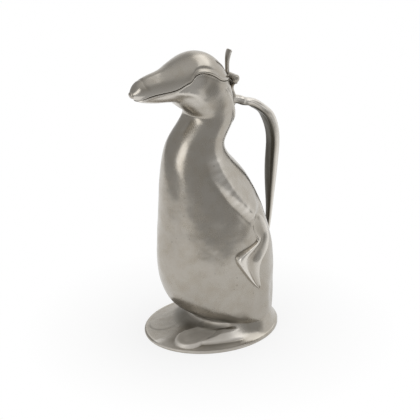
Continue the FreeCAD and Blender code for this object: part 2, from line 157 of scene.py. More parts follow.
# %% [markdown]
# ## From grids to meshes
#
# Every new piece is a grid of points worked out as one array. These helpers join neighbouring grid
# points into four-sided faces, weld the seams and poles, and lay a value called hollow on each point.
# The pewter reads it later: above zero it is tarnish in a hollow together with painted shade, beyond one a
# black crust and the deepest painted shade, and below zero metal that hands have worn bright together with
# painted highlights. Painting the same by hand would not follow a changed shape.

# %% Grid helpers
def bell(distance, width):
    """Soft bump: one in the middle, falling off like a bell over the width."""
    return np.exp(-(distance / width) ** 2)


def ease(low, high, value):
    """Smooth step from zero at low to one at high."""
    t = np.clip((value - low) / (high - low), 0, 1)
    return t * t * (3 - 2 * t)


def circle(count):
    """Angles of evenly spaced points round a full turn."""
    return np.linspace(0, 2 * math.pi, count + 1)[:-1]


def grid_faces(rows, cols, closed=False):
    """Four-sided faces between neighbouring points of a grid; closed joins the last column to the
    first."""
    i = np.arange(rows - 1)[:, None] * cols
    j = np.arange(cols if closed else cols - 1)[None, :]
    k = (j + 1) % cols
    return np.stack([i + j, i + k, i + cols + k, i + cols + j], -1).reshape(-1, 4)


def volume(points, faces):
    """Signed volume inside a closed set of four-sided faces, positive when they face outward: a sixth
    of the box products of the two triangles of every face, added up."""
    a, b, c, d = np.moveaxis(points.reshape(-1, 3)[faces], 1, 0)
    return float((a * (np.cross(b, c) + np.cross(c, d))).sum() / 6)


def outward(points, faces):
    """Faces of a closed shell, turned round if they face inward."""
    return faces if volume(points, faces) > 0 else faces[:, ::-1]


print("bell at half its width", bell(0.5, 1), "ease in the middle", ease(0, 1, 0.5))

# %% Mesh from shells
WELD = 1e-6


def lay_value(mesh, name, values):
    """One number for each point of a mesh, under a name that a material can read."""
    layer = mesh.attributes.new(name, "FLOAT", "POINT")
    layer.data.foreach_set("value", values.astype(np.float32))


def make_piece(name, shells):
    """Mesh object from shells of (points, faces, hollow value per point), welded and smooth."""
    points, faces, hollow, start = [], [], [], 0
    for pts, fcs, hol in shells:
        points.append(pts.reshape(-1, 3))
        faces.append(fcs + start)
        hollow.append(np.broadcast_to(hol, pts.shape[:-1]).reshape(-1))
        start += len(points[-1])
    mesh = bpy.data.meshes.new(name)
    mesh.from_pydata(np.vstack(points).tolist(), [], np.vstack(faces).tolist())
    lay_value(mesh, "hollow", np.concatenate(hollow))
    work = bmesh.new()
    work.from_mesh(mesh)
    bmesh.ops.remove_doubles(work, verts=work.verts, dist=WELD)
    bmesh.ops.dissolve_degenerate(work, edges=work.edges, dist=WELD)
    work.to_mesh(mesh)
    work.free()
    mesh.polygons.foreach_set("use_smooth", np.ones(len(mesh.polygons), bool))
    piece = bpy.data.objects.new(name, mesh)
    bpy.context.scene.collection.objects.link(piece)
    print(name, len(mesh.vertices), "points", len(mesh.polygons), "faces")
    return piece


# %% [markdown]
# ## The parting line
#
# Seen from the side, the lid's edge runs from the bill tip back to the corner of the mouth, climbs
# over the eye and drops to the hinge. On each section it sits at one angle. Below that angle the
# skin belongs to the body, above it to the lid. The body's edge lies a little lower, and the gap
# opens towards the bill tip, as on the real jug. A boolean cut could split the skin too, but it
# leaves ragged faces along the rim, just where the light catches.

# %% Parting line
EDGE_SHARES = np.array([
    (-0.900, 0.490), (-0.764, 0.524), (-0.680, 0.573), (-0.592, 0.591), (-0.518, 0.604),
    (-0.472, 0.621), (-0.426, 0.654), (-0.382, 0.692), (-0.343, 0.720), (-0.311, 0.772),
    (-0.280, 0.796), (-0.234, 0.801), (-0.155, 0.765), (-0.082, 0.697), (-0.008, 0.632)])
MOUTH_CORNER_Y = -0.343 * HEAD_LENGTH
edge_knots = np.vstack([EDGE_SHARES * [HEAD_LENGTH, HEAD_HEIGHT] + [0, NECK_TOP],
                        [[HINGE_Y, HINGE_Z]]])
EDGE_POINTS, SECTION_POINTS, SEARCH_POINTS = 600, 1201, 4201
edge_line = spline(edge_knots, np.linspace(0, len(edge_knots) - 1, EDGE_POINTS))


def edge_turn(u, rim_gap, tip_gap):
    """Angle at which the lid's edge, lowered by the gap, crosses each section: zero below the hinge, a
    half turn beyond the tip of the lower bill. The gap grows from the mouth corner to the tip."""
    row = spline(STATIONS, u)[:, None]
    share = np.linspace(0, 1, SECTION_POINTS)
    y = row[..., FRONT_Y] + share * (row[..., BACK_Y] - row[..., FRONT_Y])
    z = row[..., FRONT_Z] + share * (row[..., BACK_Z] - row[..., FRONT_Z])
    toward_tip = np.clip((y - MOUTH_CORNER_Y) / (edge_knots[0, 0] - MOUTH_CORNER_Y), 0, 1)
    gap = rim_gap + (tip_gap - rim_gap) * toward_tip
    over = z - (np.interp(y, edge_line[:, 0], edge_line[:, 1]) - gap)
    above = over > 0
    after = np.clip(np.argmax(above, 1), 1, len(share) - 1)[:, None]
    high = np.take_along_axis(over, after, 1)[:, 0]
    low = np.take_along_axis(over, after - 1, 1)[:, 0]
    past = (share[1] - share[0]) * high / np.where(high == low, 1.0, high - low)
    crossing = np.where(above.any(1), share[after[:, 0]] - past, 1.0)
    crossing = np.where(above[:, 0], 0.0, crossing)
    return np.arccos(np.clip(2 * crossing - 1, -1, 1))


print("edge of the lid runs from", edge_line[0], "to", edge_line[-1])

# %% Where lid and body begin and end
RIM_GAP, TIP_GAP, SEARCH_GAP = 0.2 * MM, 1.6 * MM, 0.3 * MM
HALF_TURN = math.pi - 1e-6
fine_u = np.linspace(0, LAST, SEARCH_POINTS)
lid_border = edge_turn(fine_u, 0.0, 0.0)
body_border = edge_turn(fine_u, SEARCH_GAP, TIP_GAP)
LID_START = fine_u[np.argmax(lid_border > 0) - 1]
BODY_OPEN = fine_u[np.argmax(body_border > 0) - 1]
BODY_END = fine_u[np.argmax(body_border >= HALF_TURN)]
print("lid starts at", LID_START, "body opens at", BODY_OPEN, "lower bill ends at", BODY_END)

# %% [markdown]
# ## Relief on the cheeks and shoulders
#
# The founder cut shallow forms into the mould: a hollow cheek under the lid's edge, a jaw line that
# runs down to the throat, and an arm that rises like a fold from the shoulder to the elbow. Each is a
# line drawn on the side view. The skin is pushed out or in by a soft bump of the distance to that
# line, so the forms melt into the body as cast metal does. A bump map would look the same from the
# front, but it would leave the outline smooth.

# %% Distance to a line
FINE = 8


def to_segments(line, a, b):
    """Distance of points (a, b) to every short piece of a line, and the share of each piece at which
    the nearest place lies."""
    start, step = line[:-1], np.diff(line, axis=0)
    from_a, from_b = a[..., None] - start[:, 0], b[..., None] - start[:, 1]
    along = np.clip((from_a * step[:, 0] + from_b * step[:, 1]) / (step ** 2).sum(1), 0, 1)
    return np.hypot(from_a - along * step[:, 0], from_b - along * step[:, 1]), along


def line_offset(points, y, z):
    """Distance to a smooth line through the points, positive on its left hand, and the share of the
    line's length at the nearest place."""
    last = len(points) - 1
    line = spline(np.array(points) * MM, np.linspace(0, last, FINE * last + 1))
    gap, along = to_segments(line, y, z)
    nearest = gap.argmin(-1)
    gap = np.take_along_axis(gap, nearest[..., None], -1)[..., 0]
    along = np.take_along_axis(along, nearest[..., None], -1)[..., 0]
    start, step = line[:-1], np.diff(line, axis=0)
    length = np.linalg.norm(step, axis=1)
    run = np.concatenate([[0], np.cumsum(length)])
    left = step[nearest, 0] * (z - start[nearest, 1]) - step[nearest, 1] * (y - start[nearest, 0])
    return gap * np.sign(left), (run[nearest] + along * length[nearest]) / run[-1]


offset, share = line_offset([(0, 0), (5, 0), (10, 0)], np.array([5 * MM]), np.array([2 * MM]))
print("two millimetres above the middle of a line:", offset / MM, share)

# %% Cheek
JAW_LINE = [(-56, 245.9), (-48.4, 245.4), (-40, 243.8), (-31.3, 240.8), (-25.9, 234.5), (-20.2, 231.3),
            (-13, 229)]
CHEEK, GAPE = (-17, 248.3), (-33, 249.8)


def cheek_relief(y, z):
    """Slanting oval hollow of the cheek, a small one at the mouth corner, and a jaw ridge with a shallow
    groove below it that fades at both ends."""
    jaw, along = line_offset(JAW_LINE, y, z)
    fade = ease(0, 0.2, along) * (1 - ease(0.55, 0.98, along))
    back, up = y / MM - CHEEK[0], z / MM - CHEEK[1]
    cheek = bell(np.hypot((back * 0.8 + up * 0.6) / 9, (up * 0.8 - back * 0.6) / 6.5), 1)
    gape = bell(np.hypot((y / MM - GAPE[0]) / 3.2, (z / MM - GAPE[1]) / 2.6), 1)
    ridge = 0.8 * bell(jaw, 3 * MM) - 0.2 * bell(jaw + 5 * MM, 3.5 * MM)
    return (-0.9 * cheek - 0.3 * gape + fade * ridge) * MM


print("middle of the cheek moves", cheek_relief(np.array([-17 * MM]), np.array([248.3 * MM])) / MM, "mm")

# %% Arm
ARM_LINE = [(-24, 193.3), (-24, 182.3), (-22.5, 167.3), (-18, 156.3), (-8.5, 142.3), (2, 131.1),
            (13.5, 118.5)]
ELBOW = ARM_LINE[-1]


def arm_relief(y, z):
    """Arm that rises along its front line with a groove before it, carries a knobbly crest, fades
    towards the back and ends square to the line at the elbow."""
    front, along = line_offset(ARM_LINE, y, z)
    rise = (9.5 - 5 * ease(0.3, 0.95, along)) * MM
    height = (1.6 + 2.6 * ease(0, 0.5, along)) * ease(0, 0.2, along)
    arm = height * ease(-0.8 * MM, rise, front) ** 0.75 * (1 - ease(7 * MM, 26 * MM, front))
    crest = 0.35 * bell(front - rise, 4 * MM) * ease(0.05, 0.3, along)
    knobs = 0.3 * np.sin(44 * along + 1) * np.sin(17 * along + 2)
    knobs = knobs * bell(front - rise, 3 * MM) * ease(0.05, 0.25, along)
    groove = 0.7 * bell(front + 2 * MM, 3 * MM) * ease(0.05, 0.4, along)
    beyond = ((y - ELBOW[0] * MM) * 0.67 - (z - ELBOW[1] * MM) * 0.74) / MM
    return (arm + crest + knobs - groove) * (1 - ease(-5, 7, beyond)) * MM


def arm_crest_highlight_and_wear(y, z):
    """One on the crest of the arm, patchy along it and falling off to both sides; it marks wear and a
    painted highlight.
    """
    front, along = line_offset(ARM_LINE, y, z)
    patches = 0.65 + 0.35 * np.sin(61 * along) * np.sin(23 * along + 1)
    crest = bell(front - (8.5 - 5 * along) * MM, (6.5 - 3 * along) * MM)
    return patches * crest * ease(0.06, 0.2, along) * (1 - ease(0.97, 1, along))


print("arm above its elbow rises", arm_relief(np.array([10 * MM]), np.array([135 * MM])) / MM, "mm")

# %% Hand finishing
WAVES = 14


def unevenness(points):
    """Slow waves left by hand finishing: a sum of sines in fixed directions."""
    draw = np.random.default_rng(7)
    waves = draw.normal(size=(WAVES, 3))
    waves = waves / np.linalg.norm(waves, axis=1, keepdims=True) * draw.uniform(150, 420, (WAVES, 1))
    return np.sin(points @ waves.T + draw.uniform(0, 6.28, WAVES)).sum(-1) * 0.035 * MM


print("hand finishing at the origin", unevenness(np.zeros((1, 3))) / MM, "mm")

# %% [markdown]
# ## Body with neck, cheeks and lower bill
#
# The body is hollow, so it needs an outer and an inner wall that meet at the rim. We lay an outer grid
# from rim to rim and an inner grid one wall thickness inside it, with half the columns, and join them
# along the rim. A Solidify modifier would make the inner wall too, but at the thin bill it would fold
# over. The columns crowd together at the rim, where a fine raised edge catches the light.

# %% Grid of a wall
RIM_STEPS = np.array([0, 0.25, 0.5, 0.8, 1.2, 1.7, 2.4, 3.4]) * MM


def half_sizes(u):
    """Half the width and half the depth of the sections at stations u."""
    row = spline(STATIONS, u)
    depth = np.hypot(row[:, BACK_Y] - row[:, FRONT_Y], row[:, BACK_Z] - row[:, FRONT_Z])
    return row[:, HALF_WIDTH], depth / 2


def crowded(count):
    """Shares from zero to one that crowd together at both ends, as half a cosine wave does."""
    return 0.5 - 0.5 * np.cos(np.linspace(0, math.pi, count))


def turns_from_rim(u, edge, far, count):
    """Turns from the rim to the far line, close together at the rim, and their distance from it: the
    turn times the speed at which the section's oval runs at the rim."""
    half_width, half_depth = half_sizes(u)
    speed = np.sqrt((half_width * np.cos(edge)) ** 2 + (half_depth * np.sin(edge)) ** 2)
    span = np.abs(far - edge)
    near = RIM_STEPS[None, :] / np.maximum(speed, 1e-5)[:, None]
    near = near * np.minimum(1, 0.3 * span / near[:, -1])[:, None]
    rest = near[:, -1:] + (span[:, None] - near[:, -1:]) * np.linspace(0, 1, count + 1)[None, 1:]
    turn = np.concatenate([near, rest], 1)
    return edge[:, None] + np.sign(far - edge)[:, None] * turn, turn * speed[:, None]


def both_sides(half, mirror):
    """A half row from left rim to middle, followed by its mirror from middle to right rim."""
    return np.concatenate([half, mirror[:, -2::-1]], 1)


def wall_grid(u, edge, far, count):
    """Grid of the bare skin from the left rim over the far line to the right rim: station, turn and
    distance from the rim of each point, its place and its outward normal."""
    turn, rim = turns_from_rim(u, edge, far, count)
    turn, rim = both_sides(turn, 2 * far - turn), both_sides(rim, rim)
    station = np.broadcast_to(u[:, None], turn.shape)
    return station, turn, rim, skin(station, turn), skin_normal(station, turn)


BELLY_STATION = np.array([4.0])
print("half width and half depth of the belly", half_sizes(BELLY_STATION))

# %% Grid of the body
NECK_STATION = 10
BELLY_ROWS, NECK_ROWS, BILL_ROWS, BODY_COLS = 124, 44, 112, 103
body_u = np.concatenate([np.linspace(0, NECK_STATION, BELLY_ROWS),
                         np.linspace(NECK_STATION, BODY_OPEN, NECK_ROWS)[1:],
                         BODY_OPEN + (BODY_END - BODY_OPEN) * crowded(BILL_ROWS)[1:]])
body_edge = edge_turn(body_u, RIM_GAP, TIP_GAP)
station, turn, rim, bare, out = wall_grid(body_u, body_edge, math.pi, BODY_COLS)
x, y, z = np.moveaxis(bare, -1, 0)
from_back = np.minimum(turn, 2 * math.pi - turn)
print("grid of the body", turn.shape)

# %% [markdown]
# ## Nape, tail and rim
#
# A raised line with faint ribs runs down each side of the nape, and soft upright folds lie round the
# tail. They sit at places that are easier to name by station and turn than on the side view, so these
# bumps are functions of the angle from the back. All the reliefs are added up before the skin moves.

# %% Relief of the body
RIB_PITCH = 3.4 * MM


def nape_place(u, from_back, half_width):
    """Signed distance across the skin to the line beside the nape, and one along the line's run."""
    line = (from_back - 0.64 - 0.19 * (u - 11)) * half_width
    return line, ease(10.6, 11.4, u) * (1 - ease(12.9, 13.4, u))


def nape_relief(line, z):
    """Raised line, a groove beside it, and faint slanting ribs beyond the groove."""
    ribs = 0.1 * np.sin((z + 0.8 * line) * 2 * math.pi / RIB_PITCH) * bell(line + 4.5 * MM, 2.5 * MM)
    return (1.3 * bell(line, 1.1 * MM) - 0.6 * bell(line + 2.4 * MM, 1.2 * MM) + ribs) * MM


def tail_folds(from_back, z):
    """Waves of the angle from the back, fading towards the flanks, above and below."""
    fade = ease(0.5, 0.9, from_back) * (1 - ease(1.75, 2.1, from_back))
    fade = fade * ease(16 * MM, 30 * MM, z) * (1 - ease(34 * MM, 62 * MM, z))
    return 0.8 * np.cos(from_back * 12) * fade * MM


opened = ease(BODY_OPEN, BODY_OPEN + 0.12, station)
bead = (0.5 * bell(rim - 0.9 * MM, 0.7 * MM) - 0.45 * bell(rim, 0.25 * MM)) * opened * MM
nape_line, nape_run = nape_place(station, from_back, half_sizes(body_u)[0][:, None])
nape = nape_relief(nape_line, z) * nape_run
cheek = cheek_relief(y, z) * ease(10.5, 11.5, station) * ease(0.2, 0.5, np.sin(from_back))
arm = arm_relief(y, z)
moved = bead + nape + cheek + arm + tail_folds(from_back, z) + unevenness(bare)
outer = bare + out * moved[..., None]
print("relief of the body from", moved.min() / MM, "to", moved.max() / MM, "mm")

# %% [markdown]
# ## Dark and bright places of the body
#
# On the old jug the cheek and the grooves are dark with tarnish and painted shade, a band under the lid's
# edge and the underside of the belly carry painted shade, and the lower flank is a little brown. The arm's
# crest, the line at the nape and the lower bill are worn bright and carry painted highlights, and the
# groove beside the nape line carries painted shade. A mask could be painted by hand. Here the same
# distances that raise the relief also say where tarnish, painted shade and painted highlights go.

# %% Tarnish, wear, painted shade and painted highlights of the body
# Cheek hollow and the groove before the arm: tarnish and painted shade; the band just below the rim:
# painted shade under the lid's edge.
tarnish_wear_and_painted_light = 0.5 * np.clip(-(cheek + arm) / (1.6 * MM), 0, 1) + 0.2 * bell(rim - 2.6 * MM, 1.2 * MM) * opened
# Painted shade on the underside of the belly, where it faces the dark foot.
underside_shade = ease(34 * MM, 21 * MM, z) * ease(17 * MM, -12 * MM, y)
brown_flank = 0.13 * (1 - ease(55 * MM, 105 * MM, z)) * ease(8 * MM, 34 * MM, x)
# Nape line: worn bright with a painted highlight; the groove beside it is painted darker as shade.
nape_highlight_shade_and_wear = (bell(nape_line, 1.1 * MM) - 0.6 * bell(nape_line + 2.4 * MM, 1.1 * MM)) * nape_run
# Lower bill: worn bright and painted lighter as a highlight.
bill_highlight_and_wear = ease(-18 * MM, -34 * MM, y) * ease(226 * MM, 232 * MM, z)
tarnish_wear_and_painted_light = tarnish_wear_and_painted_light - 0.9 * arm_crest_highlight_and_wear(y, z) + underside_shade + brown_flank - 0.7 * nape_highlight_shade_and_wear - 0.6 * bill_highlight_and_wear
print("hollow value of the body from", tarnish_wear_and_painted_light.min(), "to", tarnish_wear_and_painted_light.max())

# %% Two walls
INSIDE_TARNISH = 0.8


def metal_thickness(u):
    """Wall at each station, but no more than half of the half width or half depth there."""
    return np.minimum(WALL, 0.5 * np.minimum(*half_sizes(u)))[:, None]


def two_walls(outer, inner, open_from, hollow):
    """Closed shell of an outer grid, an inner grid with every second column, and the strips along both
    rims from the row where the wall opens."""
    rows, cols = outer.shape[:2]
    inner = inner[:, ::2]
    few = inner.shape[1]
    base = rows * cols
    i = np.arange(open_from, rows - 1)
    left, left_in = i * cols, base + i * few
    right, right_in = left + cols - 1, left_in + few - 1
    faces = np.vstack([grid_faces(rows, cols), base + grid_faces(rows, few)[:, ::-1],
                       np.stack([left, left + cols, left_in + few, left_in], -1),
                       np.stack([right, right_in, right_in + few, right + cols], -1)])
    points = np.concatenate([outer.reshape(-1, 3), inner.reshape(-1, 3)])
    return points, faces, np.concatenate([hollow.reshape(-1), np.full(rows * few, INSIDE_TARNISH)])


print("metal at the belly", metal_thickness(BELLY_STATION) / MM, "mm")

# %% Body
thickness = metal_thickness(body_u) * (0.25 + 0.75 * (1 - ease(BODY_END - 0.8, BODY_END, station)))
inner = bare - out * thickness[..., None]
outer[0], inner[0] = outer[0].mean(0), inner[0].mean(0) + [0, 0, WALL]
open_row = int(np.argmax(body_edge > 0)) - 1
points, faces, tarnish_wear_and_painted_light = two_walls(outer, inner, open_row, tarnish_wear_and_painted_light)
print("metal in the body's walls, litres:", abs(volume(points, faces)) * 1000)
jug_body = make_piece("jug_body", [(points, outward(points, faces), tarnish_wear_and_painted_light)])
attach(jug_body, "pitcher")
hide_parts("body_left_half", "body_right_half")

# %% [markdown]
# ## Lid: crown and upper bill
#
# The lid is the same skin above the parting line, so it fits the body by itself. Along its edge runs a
# brow over the eye, and a finer bead along the bill. A crease near the tip marks the nail of the bill.
# The last rows shrink to a point, which rounds the tip. The sides of the bill are worn bright and painted
# lighter as a highlight; the crease of the nail carries tarnish and painted shade, and a band above the
# brow carries painted shade. Cutting the lid out of the body's mesh would give the same line, but not the
# bead and the clean rim.

# %% Grid and relief of the lid
NAIL_CREASE = [(-73.5, 258.3), (-74.4, 255.7), (-74.4, 253.3), (-72.6, 250.9), (-70.5, 248.8)]


def lid_relief(y, z, rim):
    """Brow bead behind the mouth corner and fine bead along the bill, and the crease of the nail."""
    brow = ease(MOUTH_CORNER_Y - 2 * MM, MOUTH_CORNER_Y + 6 * MM, y)
    bead = brow * (1.1 * bell(rim - 1.7 * MM, 1.3 * MM) - 0.5 * bell(rim - 5.2 * MM, 1.8 * MM))
    bead = bead + (1 - brow) * 0.5 * bell(rim - 0.9 * MM, 0.8 * MM) - 0.45 * bell(rim, 0.25 * MM)
    nail, along = line_offset(NAIL_CREASE, y, z)
    crease = -0.3 * bell(nail, 1.3 * MM) * (1 - ease(0.7, 1, along))
    return bead * MM, crease * MM


LID_ROWS, LID_COLS = 190, 90
lid_u = LID_START + (LAST - LID_START) * crowded(LID_ROWS)
lid_edge = edge_turn(lid_u, 0.0, 0.0)
station, turn, rim, bare, out = wall_grid(lid_u, lid_edge, 0.0, LID_COLS)
x, y, z = np.moveaxis(bare, -1, 0)
bead, crease = lid_relief(y, z, rim)
closed_u = lid_u[int(np.argmax(lid_edge >= HALF_TURN))]
bead = bead * (1 - ease(closed_u - 0.25, closed_u, station))
outer = bare + out * (bead + crease + unevenness(bare))[..., None]
inner = bare - out * np.broadcast_to(metal_thickness(lid_u), turn.shape)[..., None]
print("grid of the lid", turn.shape, "closed below from station", closed_u)

# %% Bill tip and lid
TIP_ROUND, TIP_ROWS = 2.2 * MM, 5
cap = np.linspace(0, math.pi / 2, TIP_ROWS + 1)[1:, None, None]
tip, before_tip = bare[-1].mean(0), bare[-6].mean(0)
bill_ahead = (tip - before_tip) / np.linalg.norm(tip - before_tip)
outer_tip = tip + (outer[-1] - tip) * np.cos(cap) + bill_ahead * TIP_ROUND * np.sin(cap)
inner_tip = tip + (inner[-1] - tip) * np.cos(cap)
outer, inner = np.concatenate([outer, outer_tip]), np.concatenate([inner, inner_tip])
# Tarnish and painted shade in the crease of the nail.
tarnish_wear_and_painted_light = np.clip(-crease / (0.9 * MM), 0, 1)
# Painted shade in a band above the brow bead.
tarnish_wear_and_painted_light = tarnish_wear_and_painted_light + 0.3 * bell(rim - 3.6 * MM, 1.2 * MM) * ease(-40 * MM, -30 * MM, y)
# Sides of the bill: worn bright and painted lighter as a highlight.
tarnish_wear_and_painted_light = tarnish_wear_and_painted_light - 0.6 * ease(-32 * MM, -48 * MM, y) * ease(1.0, 1.8, np.abs(turn))
tarnish_wear_and_painted_light = np.concatenate([tarnish_wear_and_painted_light, np.zeros((TIP_ROWS, tarnish_wear_and_painted_light.shape[1]))])
points, faces, tarnish_wear_and_painted_light = two_walls(outer, inner, 0, tarnish_wear_and_painted_light)
lid_crown = make_piece("lid_crown", [(points, outward(points, faces), tarnish_wear_and_painted_light)])
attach(lid_crown, "lid")
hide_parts("lid_shell")

# %% [markdown]
# ## Hands of the flippers
#
# Below each elbow the flipper folds forward: a thin hand lies on the flank, with a lifted front lip, a
# hollow behind it painted dark as shade, and a curved ridge at the rear; lip and ridge are painted bright
# as highlights. It is a lens-shaped casting detail. We draw its front and rear lines on the side view, fill
# a grid between them, and drop every point on the skin.
# The border lies just under the skin, so the hand seems to grow from the body. As part of the body's
# own grid, its sharp lip would need far more points all over the flank.

# %% Lines of the hand
HAND_FRONT = [(15, 128), (16, 117), (15.5, 109.3), (18.5, 102.3), (18.5, 97.8), (9.5, 95.3), (-1, 92.6),
              (-6.4, 88.8), (-5.6, 82.3), (0, 73.8), (6, 65.8), (13.5, 57.1), (25.5, 46.3)]
HAND_REAR = [(15, 128), (28, 121.5), (35, 113.3), (37.5, 105.3), (38.5, 98.3), (38.5, 91.3), (36, 85.8),
             (30, 81.8), (24.5, 77.8), (21.5, 71.8), (21, 64.3), (22, 55.8), (25.5, 46.3)]
HAND_ROWS, HAND_COLS = 110, 73
FLANK_TOP, HALVINGS = 12.0, 40


def place_on_flank(y, z):
    """Station and turn of the left flank at a point of the side view, by halving the station range."""
    low, high = np.zeros_like(y), np.full_like(y, FLANK_TOP)
    for _ in range(HALVINGS):
        u = (low + high) / 2
        row = spline(STATIONS, u)
        chord = row[..., BACK_Y:HALF_WIDTH] - row[..., FRONT_Y:BACK_Y]
        from_front = np.stack([y, z], -1) - row[..., FRONT_Y:BACK_Y]
        over = chord[..., 0] * from_front[..., 1] - chord[..., 1] * from_front[..., 0]
        low, high = np.where(over > 0, u, low), np.where(over > 0, high, u)
    share = (from_front * chord).sum(-1) / (chord ** 2).sum(-1)
    return u, np.arccos(np.clip(2 * share - 1, -1, 1))


down = np.linspace(0, len(HAND_FRONT) - 1, HAND_ROWS)
across = np.linspace(0, 1, HAND_COLS)
front = spline(np.array(HAND_FRONT) * MM, down)[:, None, :]
rear = spline(np.array(HAND_REAR) * MM, down)[:, None, :]
y, z = np.moveaxis(front + (rear - front) * across[None, :, None], -1, 0)
u, turn = place_on_flank(y, z)
print("hand lies on stations", u.min(), "to", u.max())

# %% Lip, ridge and web of the hand
LIP_RISE = [0, 0, 0, 0.4, 1.6, 2.8, 3.8, 4.2, 3.8, 3.2, 2.6, 2.0, 0]
RIDGE_RISE = [0, 1.0, 2.0, 2.5, 2.5, 2.3, 2.1, 2.0, 1.9, 1.7, 1.5, 1.2, 0]
HAND_DEPTH = 1.9 * MM


def crest_down(rises, start, top, level, end):
    """Crest down the hand: a spline through the rises, never below zero, times a step up from start to
    top and a step down from level to end, both as shares of the way across."""
    height = np.maximum(spline(np.array(rises)[:, None], down), 0)
    return height * (ease(start, top, across) * (1 - ease(level, end, across)))


lip = crest_down(LIP_RISE, 0, 0.1, 0.13, 0.46)
ridge = crest_down(RIDGE_RISE, 0.5, 0.82, 0.85, 1)
ends = (ease(0, 1.6, down) * (1 - ease(11, 12, down)))[:, None]
web = (0.3 + 1.1 * ease(5, 8, down)[:, None]) * ease(0, 0.1, across) * (1 - ease(0.85, 1, across)) * ends
sunk = 1.3 * (1 - ease(0, 0.06, across) * (1 - ease(0.93, 1, across)) * ends)
rise = (lip + ridge + web - sunk) * MM + arm_relief(y, z)
flank, out = skin(u, turn), skin_normal(u, turn)
top = flank + out * rise[..., None]
below = flank - out * HAND_DEPTH
below[0], below[-1], below[:, 0], below[:, -1] = top[0], top[-1], top[:, 0], top[:, -1]
print("hand rises up to", rise.max() / MM, "mm")

# %% Left and right hand
# Painted shade in the hollow behind the lip.
notch_shade = bell(down - 4.2, 2.4)[:, None] * ease(0.1, 0.3, across) * (1 - ease(0.6, 0.85, across))
tarnish_wear_and_painted_light = 0.75 * notch_shade * np.clip(0.9 - (lip + ridge) / 1.4, 0, 1)
# Painted highlights on the lip and the rear ridge.
tarnish_wear_and_painted_light = (tarnish_wear_and_painted_light - 0.8 * np.clip((lip + ridge) / 2.4, 0, 1)) * ends
faces = grid_faces(*top.shape[:2])
faces = np.vstack([faces, faces[:, ::-1] + top[..., 0].size])
for name, side in (("left_hand", 1), ("right_hand", -1)):
    points = np.concatenate([top, below]) * [side, 1, 1]
    hand = make_piece(name, [(points, outward(points, faces), np.concatenate([tarnish_wear_and_painted_light, tarnish_wear_and_painted_light]))])
    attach(hand, "pitcher")

# %% [markdown]
# ## Foot with the webbed feet
#
# The foot is an oval casting, domed up to the body, with webbed feet in relief and a closing disc
# underneath. Round the body the dome swells into an instep mound in front and into a fillet at the legs.
# As a grid it runs in rings from the middle under the body, over the dome, round the rim and back to the
# middle below. The webbed feet are heights added to the dome: each lobe is a closed outline, and the
# height follows the distance to that outline. The right foot is nearly plain. The tread of the left one
# is scuffed dull, so it carries one more value, scuff, for the pewter to read.

# %% Lobes of the webbed feet
INNER_LOBE = [(9, -44), (13.5, -51), (21, -54), (29, -51.5), (34, -44), (34, -33), (32.5, -22), (30.5, -11),
              (25, -4), (17.5, -11), (12, -22.5), (8.5, -34.5)]
OUTER_LOBE = [(31, -36), (36, -33), (41, -24), (45, -14.5), (48, -4), (49, 6.5), (45.5, 13.5), (36, 14.5),
              (27, 9), (23, -1), (27.5, -12), (31, -23)]
RIGHT_FOOT = 0.06


def lobe_depth(outline, x, y):
    """Distance inside a smooth closed outline, negative outside it. A point is inside where a line to
    its right crosses the outline an odd number of times."""
    ring = np.array(outline + outline[:3]) * MM
    line = spline(ring, np.linspace(1, len(outline) + 1, FINE * len(outline) + 1))
    gap = to_segments(line, x, y)[0].min(-1)
    start, end, step = line[:-1], line[1:], np.diff(line, axis=0)
    crosses = (start[:, 1] > y[..., None]) != (end[:, 1] > y[..., None])
    slope = step[:, 0] / np.where(step[:, 1] == 0, 1e-12, step[:, 1])
    reach = start[:, 0] + (y[..., None] - start[:, 1]) * slope
    inside = (crosses & (x[..., None] < reach)).sum(-1) % 2 == 1
    return np.where(inside, gap, -gap)


def feet_relief(x, y):
    """Rise of the two feet, depth inside the lobes and inside the inner lobe alone. Each lobe is a
    shallow dish whose border stands up towards the toes."""
    near = np.abs(x)
    inner, outer = lobe_depth(INNER_LOBE, near, y), lobe_depth(OUTER_LOBE, near, y)
    toes, front = ease(-14 * MM, -48 * MM, y), ease(12 * MM, -22 * MM, y)
    border = (0.7 + 2.6 * toes) * ease(-0.5 * MM, (2.4 - 1.0 * toes) * MM, inner)
    inner_rise = border - (0.4 + 0.9 * toes) * ease(2 * MM, 9 * MM, inner)
    outer_rise = (0.4 + 0.9 * front) * ease(-0.6 * MM, 2.2 * MM, outer)
    outer_rise = outer_rise + 0.38 * np.clip(outer, 0, 7 * MM) / MM
    outer_rise = outer_rise * (1 - ease(-8 * MM, 13 * MM, y))
    faint = RIGHT_FOOT + (1 - RIGHT_FOOT) * ease(-2 * MM, 4 * MM, x)
    return np.maximum(inner_rise, outer_rise) * faint * MM, np.maximum(inner, outer), inner


probe = lobe_depth(INNER_LOBE, np.array([22 * MM]), np.array([-30 * MM]))
print("middle of the inner lobe lies", probe / MM, "mm inside its outline")

# %% Dome of the foot
AROUND_FOOT, DOME_ROWS = 300, 84
SEAT_FRONT, SEAT_BACK, SEAT_WIDTH, SEAT_Y = 44.5 * MM, 33.0 * MM, 41.6 * MM, 25.0 * MM
INSTEP_RISE, LEG_RISE = 6.0 * MM, 3.5 * MM
angle = circle(AROUND_FOOT)
ring = np.stack([np.sin(angle), -np.cos(angle)], -1)
seat_reach = np.where(ring[:, 1] < 0, SEAT_FRONT, SEAT_BACK)
seat_oval = ring * np.stack([np.full(AROUND_FOOT, SEAT_WIDTH), seat_reach], -1)
seat = seat_oval + [0, SEAT_Y]
rim_oval = ring * [FOOT_WIDTH / 2, FOOT_LENGTH / 2]
outward_share = np.linspace(0, 1, DOME_ROWS)[:, None] ** 0.9
plan = seat + (rim_oval - seat) * outward_share[..., None]
x, y = np.moveaxis(plan, -1, 0)
from_seat, from_rim = (np.linalg.norm(plan - oval, axis=-1) for oval in (seat, rim_oval))
